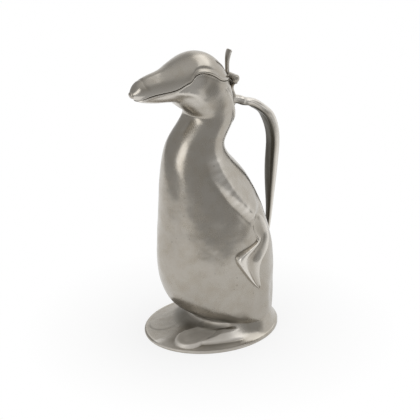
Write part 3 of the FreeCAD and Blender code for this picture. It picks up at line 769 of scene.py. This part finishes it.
leg = ease(math.radians(44), math.radians(76), np.minimum(angle, 2 * math.pi - angle))
instep = ease(26 * MM, 0, y) * (1 - leg)
collar = (INSTEP_RISE + LEG_RISE * leg) * np.exp(-from_seat / ((3.2 + 1.8 * leg) * MM))
lip = (0.35 * bell(from_rim - 1.2 * MM, 0.9 * MM) - 0.7 * bell(from_rim, 0.45 * MM)) * MM
feet, lobe, inner_lobe = feet_relief(x, y)
clear = 1 - instep * (1 - ease(3 * MM, 8 * MM, from_seat))
feet = feet * clear * ease(0.5 * MM, 2.5 * MM, from_rim)
height = FOOT_RIM + (FOOT_RISE - FOOT_RIM) * (1 - outward_share) ** 1.7 + collar + feet + lip
over = np.concatenate([plan, height[..., None]], -1)
print("foot stands up to", height.max() / MM, "mm")

# %% Rings under the body and under the rim
DISC_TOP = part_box("bottom_disc")[1].z
TUCK_DEPTH, CEILING = 6.4, DISC_TOP / MM + 0.1
TUCK = ((0.215, TUCK_DEPTH), (0.18, -1.2), (0.11, -0.9), (0.05, -0.2), (0.018, 0.05))
UNDER = ((0.0, 0.9), (0.25, 0.25), (0.8, 0.0), (6.0, 0.0), (6.0, CEILING))
tuck, under = [], []
for shrink, drop in TUCK:
    oval = seat_oval * (1 - shrink * (1 - 0.6 * leg[:, None])) + [0, SEAT_Y]
    drops = drop + (TUCK_DEPTH - drop) * leg[:, None] * (shrink > 0.1)
    tuck.append(np.concatenate([oval, over[0][:, 2:] - drops * MM], 1))
for shrink, level in UNDER:
    oval = ring * [FOOT_WIDTH / 2 - shrink * MM, FOOT_LENGTH / 2 - shrink * MM]
    under.append(np.concatenate([oval, np.full((AROUND_FOOT, 1), level * MM)], 1))
middle = np.broadcast_to([0, SEAT_Y, FOOT_RISE + 0.6 * MM], over[:1].shape)
ceiling = np.broadcast_to([0, 0, CEILING * MM], over[:1].shape)
foot_points = np.concatenate([middle, tuck, over, under, ceiling])
foot_faces = grid_faces(*foot_points.shape[:2], closed=True)
print("rings of the foot", len(foot_points))

# %% Foot
left_foot = (x > 0) * (1 - ease(-4 * MM, 12 * MM, y))
# Painted shade in the valley before the instep, where the belly shades the foot.
valley_shade = instep * ease(0.8 * MM, 2.6 * MM, from_seat) * (1 - ease(9 * MM, 18 * MM, from_seat))
valley_shade = valley_shade * (1 - ease(-3 * MM, 0, lobe) * clear * left_foot)
# Toe rims: worn bright and painted bright as a highlight.
toe_highlight_and_wear = bell(inner_lobe - 1.6 * MM, 1.8 * MM) * ease(-20 * MM, -44 * MM, y)
# Lobes and the band along the rim: worn and painted lighter for the light they reflect.
tread_sheen_and_wear = 0.95 * ease(-1 * MM, 2 * MM, lobe) * clear + 0.5 * ease(14 * MM, 5 * MM, from_rim)
# Painted shade on the foot's right half, and a painted highlight on the crest line of the instep.
tarnish_wear_and_painted_light = 0.7 * valley_shade + 0.2 * ease(0, -24 * MM, x) - 0.9 * instep * bell(from_seat, 0.8 * MM)
# A thin band of painted shade just outside the lobes.
tarnish_wear_and_painted_light = tarnish_wear_and_painted_light + (0.25 * bell(lobe + 0.8 * MM, 1.3 * MM) - 0.9 * toe_highlight_and_wear - tread_sheen_and_wear) * left_foot
# Rows tucked under the belly: tarnish and painted shade.
tarnish_wear_and_painted_light = np.concatenate([np.full((1 + len(TUCK), AROUND_FOOT), 0.5), np.clip(tarnish_wear_and_painted_light, -1, 1),
                       np.zeros((len(UNDER) + 1, AROUND_FOOT))])
jug_foot = make_piece("jug_foot", [(foot_points, outward(foot_points, foot_faces), tarnish_wear_and_painted_light)])
spots = np.empty(3 * len(jug_foot.data.vertices))
jug_foot.data.vertices.foreach_get("co", spots)
x, y, z = spots.reshape(-1, 3).T
lay_value(jug_foot.data, "scuff", ease(4 * MM, -18 * MM, y) * ease(2 * MM, 12 * MM, x))
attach(jug_foot, "pitcher")
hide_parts("foot_plate")

# %% [markdown]
# ## Handle
#
# The handle is a cast strap that leaves the bracket like a knotty twig, arches back and tapers down to
# the body. Its outer face is round, worn by hands and painted lighter as a highlight, its sides are full,
# and its inner face is nearly flat and painted nearly black, as shade and old tarnish. One profile carried
# along a path in the centre plane gives that; the profile's sizes and the bark change along the path. A
# bevelled curve would keep one profile all along.

# %% Strap pieces
AROUND_STRAP = 64


def strap(path, half_width, half_depth, profile, shift=0.0):
    """Profile carried along a path in the centre plane: sideways by the half width, square to the path
    by the half depth, with both ends drawn together to a point."""
    along = np.gradient(path, axis=0)
    along = along / np.linalg.norm(along, axis=1, keepdims=True)
    square = np.stack([-along[:, 1], along[:, 0]], -1)
    wide, deep = profile(np.linspace(0, 1, len(path))[:, None], circle(AROUND_STRAP)[None, :])
    x = half_width[:, None] * wide + shift
    yz = path[:, None, :] + square[:, None, :] * (half_depth[:, None] * deep)[..., None]
    body = np.concatenate([np.broadcast_to(x, yz.shape[:2])[..., None], yz], -1)
    ends = [np.broadcast_to(end.mean(0), (1,) + end.shape) for end in (body[0], body[-1])]
    return np.concatenate([ends[0], body, ends[1]])


def closed_shell(points, hollow=0.0):
    """Shell of a grid whose columns close round, facing outward."""
    faces = grid_faces(*points.shape[:2], closed=True)
    return points, outward(points, faces), hollow


def handle_profile(s, theta):
    """Round outside, flat inside, full at the sides; bark lines and a knot on the upper arm fade down
    the strap, and a shallow hollow lies in the inner face below the knot."""
    bark = 1 - ease(0.18, 0.42, s)
    ripple = 0.035 * np.sin(5 * theta + 9 * s) + 0.03 * np.sin(9 * theta - 23 * s)
    ripple = ripple + 0.05 * np.sin(2 * theta + 38 * s)
    knot = 0.16 * bell(s - 0.085, 0.018) * bell(np.sin(theta / 2 - 0.5), 0.6)
    swell = 1 + bark * (ripple + knot) + 0.02 * np.sin(7 * theta + 15 * s)
    inside = np.cos(theta) < 0
    wide = np.sign(np.sin(theta)) * np.abs(np.sin(theta)) ** 0.65
    deep = np.where(inside, -0.8 * np.abs(np.cos(theta)) ** 0.35, np.cos(theta))
    hollow = 0.5 * bell((s - 0.16) / 0.035, 1) * bell(np.sin(theta) - 0.1, 0.45) * inside
    return wide * swell, deep * swell + hollow


outside_inside = np.array([0.0, math.pi])
print("handle's profile outside and inside, halfway down", handle_profile(0.5, outside_inside)[1])

# %% Handle
HANDLE_SHARES = np.array([
    (0.000, 0.000, 0.62, 0.72), (0.024, 0.245, 0.64, 0.72), (0.051, 0.537, 0.70, 0.76),
    (0.099, 0.820, 0.84, 0.86), (0.160, 0.985, 0.95, 1.00), (0.252, 1.047, 1.00, 1.00),
    (0.346, 0.977, 0.98, 0.98), (0.440, 0.845, 0.95, 0.94), (0.548, 0.700, 0.88, 0.82),
    (0.663, 0.560, 0.68, 0.66), (0.764, 0.440, 0.50, 0.52), (0.858, 0.305, 0.42, 0.44),
    (0.939, 0.150, 0.40, 0.40), (1.000, 0.000, 0.40, 0.38)])
HANDLE_REACH, HANDLE_WIDTH, HANDLE_THICKNESS = 31 * MM, 13.4 * MM, 11.4 * MM
HANDLE_ROWS, ROOT_ROWS = 240, 12
HANDLE_ROOT = np.array([21.5, 222.0]) * MM
HANDLE_TOP, HANDLE_FOOT = np.array([28.2, 220.6]) * MM, np.array([61.4, 72.3]) * MM

rows = spline(HANDLE_SHARES, np.linspace(0, len(HANDLE_SHARES) - 1, HANDLE_ROWS))
handle_path = HANDLE_TOP + (HANDLE_FOOT - HANDLE_TOP) * rows[:, 0:1]
handle_path = handle_path + np.stack([rows[:, 1] * HANDLE_REACH, np.zeros(len(rows))], -1)
root = np.linspace(HANDLE_ROOT, handle_path[0], ROOT_ROWS + 1)[:-1]
rows = np.vstack([np.repeat(rows[:1], len(root), 0), rows])
handle_path = np.vstack([root, handle_path])
half_width, half_depth = rows[:, 2] * HANDLE_WIDTH / 2, rows[:, 3] * HANDLE_THICKNESS / 2
handle_points = strap(handle_path, half_width, half_depth, handle_profile)
run, around = np.linspace(0, 1, len(handle_points))[:, None], circle(AROUND_STRAP)[None, :]
bark = np.clip(np.sin(3 * around + 21 * run) * np.sin(33 * run + 1), 0, 1)
bark = 0.45 * (1 - ease(0.2, 0.45, run)) * bark
# Inner face painted near black as shade together with old tarnish; outer face worn bright and painted
# lighter as a highlight; the bark patches are dirt.
tarnish_wear_and_painted_light = np.clip(2.45 * ease(0.1, -0.35, np.cos(around)) - 0.8 + bark, -1, 1.65)
strap_handle = make_piece("strap_handle", [closed_shell(handle_points, tarnish_wear_and_painted_light)])
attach(strap_handle, "pitcher")
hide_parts("handle")

# %% [markdown]
# ## Hinge
#
# The hinge has three bored knuckles on one pin. The two outer ones belong to a bracket on the nape, the
# middle one to a strap on the lid. Knuckles and pin heads are turned shapes: a profile spun round the
# hinge line, as on a lathe. The bracket's stem and ears and the lid's strap are profiles carried along
# short paths. Plain cylinders would do for the motion, but they have no softened edges or grooves.

# %% Knuckles and short straps
KNUCKLE, BORE = 3.7, 1.65
KNUCKLE_END = [(0, BORE), (0, 3.2), (0.1, 3.5), (0.4, KNUCKLE), (0.9, KNUCKLE), (1.2, 3.45), (1.5, KNUCKLE)]


def turned(profile, around=48):
    """Profile of (place along the hinge line, radius) in millimetres, spun round the hinge line."""
    profile = np.array(profile) * MM
    x = np.broadcast_to(profile[:, 0:1], (len(profile), around))
    y = HINGE_Y + profile[:, 1:2] * np.cos(circle(around))
    z = HINGE_Z + profile[:, 1:2] * np.sin(circle(around))
    return np.stack([x, y, z], -1)


def knuckle(start, end):
    """Bored barrel with softened edges and a shallow groove near each end."""
    low, high = min(start, end), max(start, end)
    half = [(low + inset, radius) for inset, radius in KNUCKLE_END]
    return turned(half + [(high - inset, radius) for inset, radius in KNUCKLE_END[::-1]] + half[:1])


def round_profile(s, theta):
    """Plain round profile, the same all along, flattened a little on its two faces."""
    return np.sin(theta), np.sign(np.cos(theta)) * np.abs(np.cos(theta)) ** 0.8


def round_off(t, start, least):
    """One up to start, then falling like a quarter circle towards the end; its square stays over least."""
    return np.sqrt(np.clip(1 - np.clip((t - start) / (1 - start), 0, 1) ** 2, least, 1))


def eased_path(points, values, count):
    """Smooth path through points of the centre plane with sizes beside them, ends rounded off."""
    knots = np.concatenate([np.array(points), np.array(values)], 1) * MM
    rows = spline(knots, np.linspace(0, len(points) - 1, count))
    t = np.linspace(0, 1, count)
    ends = round_off(1 - t, 0.9, 0.02) * round_off(t, 0.9, 0.02)
    return rows[:, 0:2], rows[:, 2] * ends, rows[:, 3] * ends


print("a knuckle is a grid of", knuckle(0, 5).shape)

# %% Bracket
BARREL, CENTRE, GAP = 22, 9.6, 0.35
STEM_PATH = [(19.6, 239.7), (20.0, 237.5), (20.4, 233.9), (21.4, 229.3), (22.6, 224.3), (22.6, 219.3),
             (20.6, 214.9)]
STEM_SIZES = [(10.4, 2.2), (7.2, 2.3), (4.4, 2.4), (3.6, 2.9), (3.8, 3.8), (3.6, 3.8), (2.8, 2.4)]
STEM_ROWS, EAR_ROWS, EAR_METAL, FAINT_TARNISH = 60, 12, 2.2 * MM, 0.1
path, wide, deep = eased_path(STEM_PATH, STEM_SIZES, STEM_ROWS)
bracket_shells = [closed_shell(strap(path, wide, deep, round_profile), FAINT_TARNISH)]
outer_start, outer_end = CENTRE / 2 + GAP, BARREL / 2
ear_path = np.linspace([HINGE_Y, HINGE_Z], [HINGE_Y + 0.3 * MM, HINGE_Z - 4.6 * MM], EAR_ROWS)
ear_wide = np.full(EAR_ROWS, (outer_end - outer_start) / 2 * MM)
for side in (1, -1):
    ear_middle = side * (outer_end + outer_start) / 2 * MM
    ear = strap(ear_path, ear_wide, np.full(EAR_ROWS, EAR_METAL), round_profile, shift=ear_middle)
    bracket_shells.append(closed_shell(ear, FAINT_TARNISH))
    bracket_shells.append(closed_shell(knuckle(side * outer_start, side * outer_end), FAINT_TARNISH))
nape_bracket = make_piece("nape_bracket", bracket_shells)
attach(nape_bracket, "pitcher")
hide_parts("hinge_bracket")

# %% Pin
PIN_END = [(-12.5, 0), (-12.45, 1.0), (-12.2, 2.0), (-11.8, 2.7), (-11.3, 3.05), (-11.0, 3.1), (-11.0, 1.5)]
pin_points = turned(PIN_END + [(-place, radius) for place, radius in PIN_END[::-1]])
pin_heads = make_piece("pin_heads", [closed_shell(pin_points, FAINT_TARNISH)])
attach(pin_heads, "pitcher")
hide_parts("hinge_pin")

# %% [markdown]
# ## Strap and thumb lift of the lid
#
# A leaf-shaped strap lies on the back of the crown and carries the middle knuckle. Above it stands the
# thumb lift, a narrow leaf with a groove in its face and a tip rolled backward. Pressing it swings the
# lid open about the pin. Both are profiles carried along a path, like the handle: the strap's path is
# read from the crown's own back line, so it lies on the metal, and it starts outside the bore.

# %% Lid strap
LEAF_START, LEAF_END, LEAF_ROWS, LINK_ROWS = 13.12, 13.78, 40, 5
crown_line = spline(STATIONS, np.linspace(LEAF_START, LEAF_END, LEAF_ROWS))[:, BACK_Y:HALF_WIDTH]
lift_off = np.stack([np.gradient(crown_line[:, 1]), -np.gradient(crown_line[:, 0])], -1)
lift_off = lift_off / np.linalg.norm(lift_off, axis=1, keepdims=True)
knuckle_top = [HINGE_Y, HINGE_Z + 2.4 * MM]
from_knuckle = np.linspace(knuckle_top, crown_line[0] + lift_off[0] * MM, LINK_ROWS + 1)[:-1]
crown_path = np.vstack([from_knuckle, crown_line + lift_off * 0.3 * MM])
t = np.linspace(0, 1, len(crown_path))
leaf_end = round_off(t, 0.72, 0.01)
half_width, half_depth = (4.2 - 0.6 * t) * leaf_end * MM, (1.5 - 0.5 * t) * MM * np.sqrt(leaf_end)
leaf = closed_shell(strap(crown_path, half_width, half_depth, round_profile), 0.3)
lid_strap = make_piece("lid_strap", [leaf, closed_shell(knuckle(-CENTRE / 2, CENTRE / 2), 0.2)])
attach(lid_strap, "lid")
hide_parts("lid_leaf")

# %% Thumb lift
LIFT_SHARES = np.array([
    (-0.75, 0.10, 0.86), (-0.88, 0.28, 0.76), (-0.92, 0.46, 0.78), (-0.85, 0.62, 0.88),
    (-0.62, 0.78, 1.02), (-0.25, 0.91, 1.10), (0.10, 0.98, 1.10), (0.42, 1.00, 1.02)])
LIFT_CURL, LIFT_HEIGHT, LIFT_WIDTH, LIFT_METAL = 2.4 * MM, 24.4 * MM, 7 * MM, 2.3 * MM
LIFT_ROWS = 70


def lift_profile(s, theta):
    """Leaf with a rounded back, two raised edges and a groove down the middle of its face."""
    face = np.cos(theta) < 0
    groove = 0.25 + 0.95 * np.sin(theta) ** 2
    deep = np.where(face, -np.abs(np.cos(theta)) ** 0.5 * groove, np.cos(theta))
    return np.sin(theta) + 0 * s, -deep + 0 * s


rows = spline(LIFT_SHARES * [LIFT_CURL, LIFT_HEIGHT, LIFT_WIDTH / 2],
              np.linspace(0, len(LIFT_SHARES) - 1, LIFT_ROWS))
round_end = round_off(np.linspace(0, 1, LIFT_ROWS), 0.84, 0.02)
lift_path = rows[:, 0:2] + [HINGE_Y, HINGE_Z]
lift_points = strap(lift_path, rows[:, 2] * round_end, LIFT_METAL / 2 * round_end, lift_profile)
to_edge = np.abs(np.sin(circle(AROUND_STRAP)))
wear = np.broadcast_to(0.2 * bell(to_edge, 0.4) - ease(0.4, 0.9, to_edge), lift_points.shape[:2])
thumb_leaf = make_piece("thumb_leaf", [closed_shell(lift_points, wear)])
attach(thumb_leaf, "lid")
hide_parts("thumb_lift")

# %% [markdown]
# ## Pewter
#
# Old pewter is a soft grey metal with a warm cast. It reflects like satin. Handling wears the high places
# bright, a darker skin stays in the hollows, and where nothing ever wipes it turns to a black crust. The
# same colours also paint light and shade: painted highlights on crests, rims, toes and the bill, and
# painted shade under the belly, in the foot's valley, behind the hands' lips and on the handle's inner
# face.
# Small pits and fine wiping marks break the shine, and the tread of the foot is scuffed dull. We build
# these effects as node groups, so that each can be tuned on its own, and feed them to one metal. Image
# textures could show the same, but each piece would have to be unwrapped and painted for them.

# %% Pits
VALUE, COLOUR, VECTOR = "NodeSocketFloat", "NodeSocketColor", "NodeSocketVector"


def new_group(name, inputs, outputs):
    """Empty shader node group with named inputs and outputs; returns group, entry and exit nodes."""
    group = bpy.data.node_groups.new(name, "ShaderNodeTree")
    for label, kind in inputs:
        group.interface.new_socket(label, in_out="INPUT", socket_type=kind)
    for label, kind in outputs:
        group.interface.new_socket(label, in_out="OUTPUT", socket_type=kind)
    return group, group.nodes.new("NodeGroupInput"), group.nodes.new("NodeGroupOutput")


def stretch(group, value, low, high, to_low=0.0, to_high=1.0):
    """Value stretched from one range to another and held at its ends."""
    node = group.nodes.new("ShaderNodeMapRange")
    group.links.new(value, node.inputs["Value"])
    for label, number in (("From Min", low), ("From Max", high), ("To Min", to_low), ("To Max", to_high)):
        node.inputs[label].default_value = number
    return node.outputs["Result"]


def combine(group, kind, first, second):
    """Two values, or a value and a number, joined by a math node."""
    node = group.nodes.new("ShaderNodeMath")
    node.operation = kind
    for slot, value in zip(node.inputs, (first, second)):
        if isinstance(value, (int, float)):
            slot.default_value = value
        else:
            group.links.new(value, slot)
    return node.outputs[0]


def scaled(group, value, factor):
    """Value times a number or another value."""
    return combine(group, "MULTIPLY", value, factor)


pitting, entry, leave = new_group("pitting", [("Place", VECTOR)], [("Pits", VALUE)])
cells = pitting.nodes.new("ShaderNodeTexVoronoi")
cells.inputs["Scale"].default_value = 190
pitting.links.new(entry.outputs["Place"], cells.inputs["Vector"])
spot = stretch(pitting, cells.outputs["Distance"], 0.06, 0.14, 1.0, 0.0)
pick = pitting.nodes.new("ShaderNodeSeparateColor")
pitting.links.new(cells.outputs["Color"], pick.inputs["Color"])
rare = stretch(pitting, pick.outputs["Red"], 0.86, 0.88)
pitting.links.new(scaled(pitting, spot, rare), leave.inputs["Pits"])
print("pitting has", len(pitting.nodes), "nodes")

# %% Wiping marks
def noise(group, vector, scale, detail, rough=0.55):
    """Noise texture on a vector; its value is returned as a socket."""
    node = group.nodes.new("ShaderNodeTexNoise")
    node.inputs["Scale"].default_value = scale
    node.inputs["Detail"].default_value = detail
    node.inputs["Roughness"].default_value = rough
    group.links.new(vector, node.inputs["Vector"])
    return node.outputs["Fac"]


wiping, entry, leave = new_group("wiping", [("Place", VECTOR)], [("Marks", VALUE), ("Waves", VALUE)])
squeeze = wiping.nodes.new("ShaderNodeMapping")
squeeze.inputs["Scale"].default_value = (1.0, 1.0, 0.08)
wiping.links.new(entry.outputs["Place"], squeeze.inputs["Vector"])
marks = noise(wiping, squeeze.outputs["Vector"], scale=900, detail=3, rough=0.6)
wiping.links.new(marks, leave.inputs["Marks"])
wiping.links.new(noise(wiping, entry.outputs["Place"], scale=60, detail=2), leave.inputs["Waves"])
print("wiping has", len(wiping.nodes), "nodes")

# %% Tarnish, wear, painted shade and painted highlights
# The worn colour also paints highlights; the tarnish and crust colours also paint shade.
GREY, PALE_GREY = (0.40, 0.371, 0.325, 1), (0.455, 0.426, 0.38, 1)
STAIN, WORN_AND_HIGHLIGHT = (0.355, 0.308, 0.243, 1), (0.76, 0.725, 0.67, 1)
TARNISH_AND_SHADE, CRUST_AND_DEEP_SHADE = (0.15, 0.138, 0.115, 1), (0.06, 0.056, 0.046, 1)


def added(group, total, *others):
    """Sum of several values and numbers."""
    for other in others:
        total = combine(group, "ADD", total, other)
    return total


def tint(group, factor, first, second):
    """Mix of two colours, each a socket or four numbers."""
    node = group.nodes.new("ShaderNodeMix")
    node.data_type = "RGBA"
    group.links.new(factor, node.inputs[0])
    for slot, value in ((node.inputs[6], first), (node.inputs[7], second)):
        if isinstance(value, tuple):
            slot.default_value = value
        else:
            group.links.new(value, slot)
    return node.outputs[2]


tarnish_shade_and_wear, entry, leave = new_group("tarnish_shade_and_wear", [("Place", VECTOR), ("Hollow", VALUE)],
                                  [("Colour", COLOUR), ("Dull", VALUE)])
place, depth = entry.outputs["Place"], entry.outputs["Hollow"]
clouds = stretch(tarnish_shade_and_wear, noise(tarnish_shade_and_wear, place, scale=14, detail=4), 0.35, 0.66)
stains = stretch(tarnish_shade_and_wear, noise(tarnish_shade_and_wear, place, scale=95, detail=5, rough=0.6), 0.42, 0.75)
wear_and_highlight = stretch(tarnish_shade_and_wear, depth, 0.0, -1.0)
colour = tint(tarnish_shade_and_wear, clouds, GREY, PALE_GREY)
colour = tint(tarnish_shade_and_wear, scaled(tarnish_shade_and_wear, stains, 0.5), colour, STAIN)
colour = tint(tarnish_shade_and_wear, wear_and_highlight, colour, WORN_AND_HIGHLIGHT)
colour = tint(tarnish_shade_and_wear, stretch(tarnish_shade_and_wear, depth, 0.0, 1.0, 0.0, 0.75), colour, TARNISH_AND_SHADE)
colour = tint(tarnish_shade_and_wear, stretch(tarnish_shade_and_wear, depth, 1.0, 2.0), colour, CRUST_AND_DEEP_SHADE)
tarnish_shade_and_wear.links.new(colour, leave.inputs["Colour"])
dull = added(tarnish_shade_and_wear, scaled(tarnish_shade_and_wear, stains, 0.08), stretch(tarnish_shade_and_wear, depth, 0.0, 1.0, 0.0, 0.15),
             scaled(tarnish_shade_and_wear, wear_and_highlight, 0.08), scaled(tarnish_shade_and_wear, clouds, 0.04))
tarnish_shade_and_wear.links.new(dull, leave.inputs["Dull"])
print("groups", [(g.name, len(g.nodes)) for g in bpy.data.node_groups])

# %% Metal
pewter = bpy.data.materials.new("aged_pewter")
pewter.use_nodes = True
tree = pewter.node_tree
metal = tree.nodes["Principled BSDF"]
metal.inputs["Metallic"].default_value = 1.0
place = tree.nodes.new("ShaderNodeTexCoord").outputs["Object"]


def use(group):
    """Group placed in the pewter, with its place input joined to Object coordinates."""
    node = pewter.node_tree.nodes.new("ShaderNodeGroup")
    node.node_tree = group
    pewter.node_tree.links.new(place, node.inputs["Place"])
    return node


def laid_value(name):
    """Value that a piece carries on its points under a name."""
    node = pewter.node_tree.nodes.new("ShaderNodeAttribute")
    node.attribute_name = name
    return node.outputs["Fac"]


skin_tone, wipes, pits = use(tarnish_shade_and_wear), use(wiping), use(pitting).outputs["Pits"]
print("pewter uses", [node.node_tree.name for node in tree.nodes if node.type == "GROUP"])

# %% Colour, roughness and relief of the metal
PIT = (0.10, 0.09, 0.075, 1)
SATIN = 0.20
tree.links.new(laid_value("hollow"), skin_tone.inputs["Hollow"])
colour = tint(tree, scaled(tree, pits, 0.55), skin_tone.outputs["Colour"], PIT)
tree.links.new(colour, metal.inputs["Base Color"])
streaks = stretch(tree, wipes.outputs["Marks"], 0.3, 0.7, -0.015, 0.025)
rough = added(tree, streaks, skin_tone.outputs["Dull"], scaled(tree, laid_value("scuff"), 0.3), SATIN)
tree.links.new(rough, metal.inputs["Roughness"])
relief = added(tree, scaled(tree, wipes.outputs["Marks"], 0.004), scaled(tree, wipes.outputs["Waves"], 1.1))
bump = tree.nodes.new("ShaderNodeBump")
bump.inputs["Strength"].default_value = 0.6
bump.inputs["Distance"].default_value = 0.5 * MM
tree.links.new(combine(tree, "SUBTRACT", relief, scaled(tree, pits, 0.2)), bump.inputs["Height"])
tree.links.new(bump.outputs["Normal"], metal.inputs["Normal"])
print("pewter has", len(tree.nodes), "nodes")

# %% Pewter on every piece
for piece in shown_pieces():
    piece.data.materials.clear()
    piece.data.materials.append(pewter)
for node in frame["nodes"].values():
    for slot in node.material_slots:
        slot.material = pewter

# %% [markdown]
# ## Studio
#
# The jug stands on a white sheet that ends a forearm's length in front of it. Behind it is a white
# backdrop, and the rest of the room is about half as bright. Metal has little colour of its own: it
# shows the sheet, the backdrop, the dim room, a broad lamp overhead and a leaning lamp like a window,
# and these model the round belly. Camera, gloss and glass see sheet and backdrop as plain white, and
# near the jug the sheet keeps a faint shadow. More lamps would light the metal evenly and flatten it.

# %% Camera
AZIMUTH, ELEVATION, DISTANCE = math.radians(55), math.radians(22), 1.3
target = Vector((0, 0, 0.1323))
ahead = Vector((math.sin(AZIMUTH), -math.cos(AZIMUTH), 0))
back = ahead * math.cos(ELEVATION) + Vector((0, 0, math.sin(ELEVATION)))
lens = bpy.data.cameras.new("camera")
lens.lens, lens.sensor_width = 121.1, 36
lens.shift_x, lens.shift_y = -0.0034, -0.0332
camera = bpy.data.objects.new("camera", lens)
camera.location = target + back * DISTANCE
camera.rotation_euler = (-back).to_track_quat("-Z", "Y").to_euler()
bpy.context.scene.collection.objects.link(camera)
bpy.context.scene.camera = camera
print("camera at", list(camera.location))

# %% Floor
SHEET_TURN = math.radians(74)
SHEET_FRONT, SHEET_BACK, SHEET_LEFT, SHEET_RIGHT = 0.335, 1.6, 0.45, 0.9
sheet_ahead = np.array([math.sin(SHEET_TURN), -math.cos(SHEET_TURN), 0])
sheet_across = np.array([math.cos(SHEET_TURN), math.sin(SHEET_TURN), 0])
corners = [sheet_across * right + sheet_ahead * front for right, front in (
    (-SHEET_LEFT, SHEET_FRONT), (SHEET_RIGHT, SHEET_FRONT),
    (SHEET_RIGHT, -SHEET_BACK), (-SHEET_LEFT, -SHEET_BACK))]
floor_mesh = bpy.data.meshes.new("floor")
floor_mesh.from_pydata(corners, [], [(0, 1, 2, 3)])
floor = bpy.data.objects.new("floor", floor_mesh)
bpy.context.scene.collection.objects.link(floor)
print("sheet", SHEET_LEFT + SHEET_RIGHT, "by", SHEET_FRONT + SHEET_BACK, "metres")

# %% White sheet
SHADOW_NEAR, SHADOW_FAR = 0.06, 0.18


def white_rays(tree):
    """One for rays that should see plain white: those of the camera, of gloss and of glass."""
    rays = tree.nodes.new("ShaderNodeLightPath")
    seen = combine(tree, "MAXIMUM", rays.outputs["Is Camera Ray"], rays.outputs["Is Glossy Ray"])
    return combine(tree, "MAXIMUM", seen, rays.outputs["Is Transmission Ray"])


paper = bpy.data.materials.new("white_sheet")
paper.use_nodes = True
tree = paper.node_tree
matte = tree.nodes["Principled BSDF"]
matte.inputs["Base Color"].default_value = (0.9, 0.9, 0.9, 1)
matte.inputs["Roughness"].default_value = 1.0
matte.inputs["Specular IOR Level"].default_value = 0.0
reach = tree.nodes.new("ShaderNodeVectorMath")
reach.operation = "LENGTH"
tree.links.new(tree.nodes.new("ShaderNodeTexCoord").outputs["Object"], reach.inputs[0])
clean = stretch(tree, reach.outputs["Value"], SHADOW_NEAR, SHADOW_FAR, 0.8, 1.0)
glow = tree.nodes.new("ShaderNodeEmission")
both = tree.nodes.new("ShaderNodeMixShader")
tree.links.new(scaled(tree, white_rays(tree), clean), both.inputs["Fac"])
tree.links.new(matte.outputs["BSDF"], both.inputs[1])
tree.links.new(glow.outputs["Emission"], both.inputs[2])
tree.links.new(both.outputs["Shader"], tree.nodes["Material Output"].inputs["Surface"])
floor_mesh.materials.append(paper)
print("sheet is plain white from", SHADOW_FAR, "metres")

# %% Room
ROOM_TURN = math.radians(18)
WHITE, BACKDROP, DIM = (1, 1, 1, 1), (0.85, 0.85, 0.85, 1), (0.43, 0.43, 0.43, 1)
world = bpy.data.worlds.new("studio")
world.use_nodes = True
bpy.context.scene.world = world
tree = world.node_tree
direction = tree.nodes.new("ShaderNodeTexCoord").outputs["Generated"]
toward = tree.nodes.new("ShaderNodeVectorMath")
toward.operation = "DOT_PRODUCT"
tree.links.new(direction, toward.inputs[0])
toward.inputs[1].default_value = (math.sin(ROOM_TURN), -math.cos(ROOM_TURN), 0)
dim_side = stretch(tree, toward.outputs["Value"], -0.68, -0.46)
upward = tree.nodes.new("ShaderNodeSeparateXYZ")
tree.links.new(direction, upward.inputs["Vector"])
low_part = stretch(tree, upward.outputs["Z"], 0.6, 0.98, 1.0, 0.52)
backdrop = tint(tree, white_rays(tree), BACKDROP, WHITE)
room = tint(tree, scaled(tree, dim_side, low_part), backdrop, DIM)
sees = tree.nodes.new("ShaderNodeLightPath").outputs["Is Camera Ray"]
tree.links.new(tint(tree, sees, room, WHITE), tree.nodes["Background"].inputs["Color"])
print("room has", len(tree.nodes), "nodes")

# %% Lamps
def soft_lamp(name, aim, distance, wide, high, power, lean=0):
    """Soft rectangular lamp, seen from the middle of the jug in the direction of aim and turned about
    that direction by lean."""
    data = bpy.data.lights.new(name, "AREA")
    data.shape, data.size, data.size_y, data.energy = "RECTANGLE", wide, high, power
    lamp = bpy.data.objects.new(name, data)
    lamp.location = target + Vector(aim).normalized() * distance
    facing = (-Vector(aim)).to_track_quat("-Z", "Y")
    lamp.rotation_euler = (facing @ Quaternion((0, 0, 1), lean)).to_euler()
    bpy.context.scene.collection.objects.link(lamp)
    print(name, "lamp at", list(lamp.location))


soft_lamp("overhead", aim=(0.0, 0.545, 0.84), distance=1.6, wide=1.9, high=1.2, power=6.6)
soft_lamp("window", aim=(0.215, -0.932, 0.292), distance=1.4, wide=0.62, high=1.3, power=3.9,
          lean=math.radians(-22))

# %% Finish
bpy.context.scene.view_settings.view_transform = "Standard"
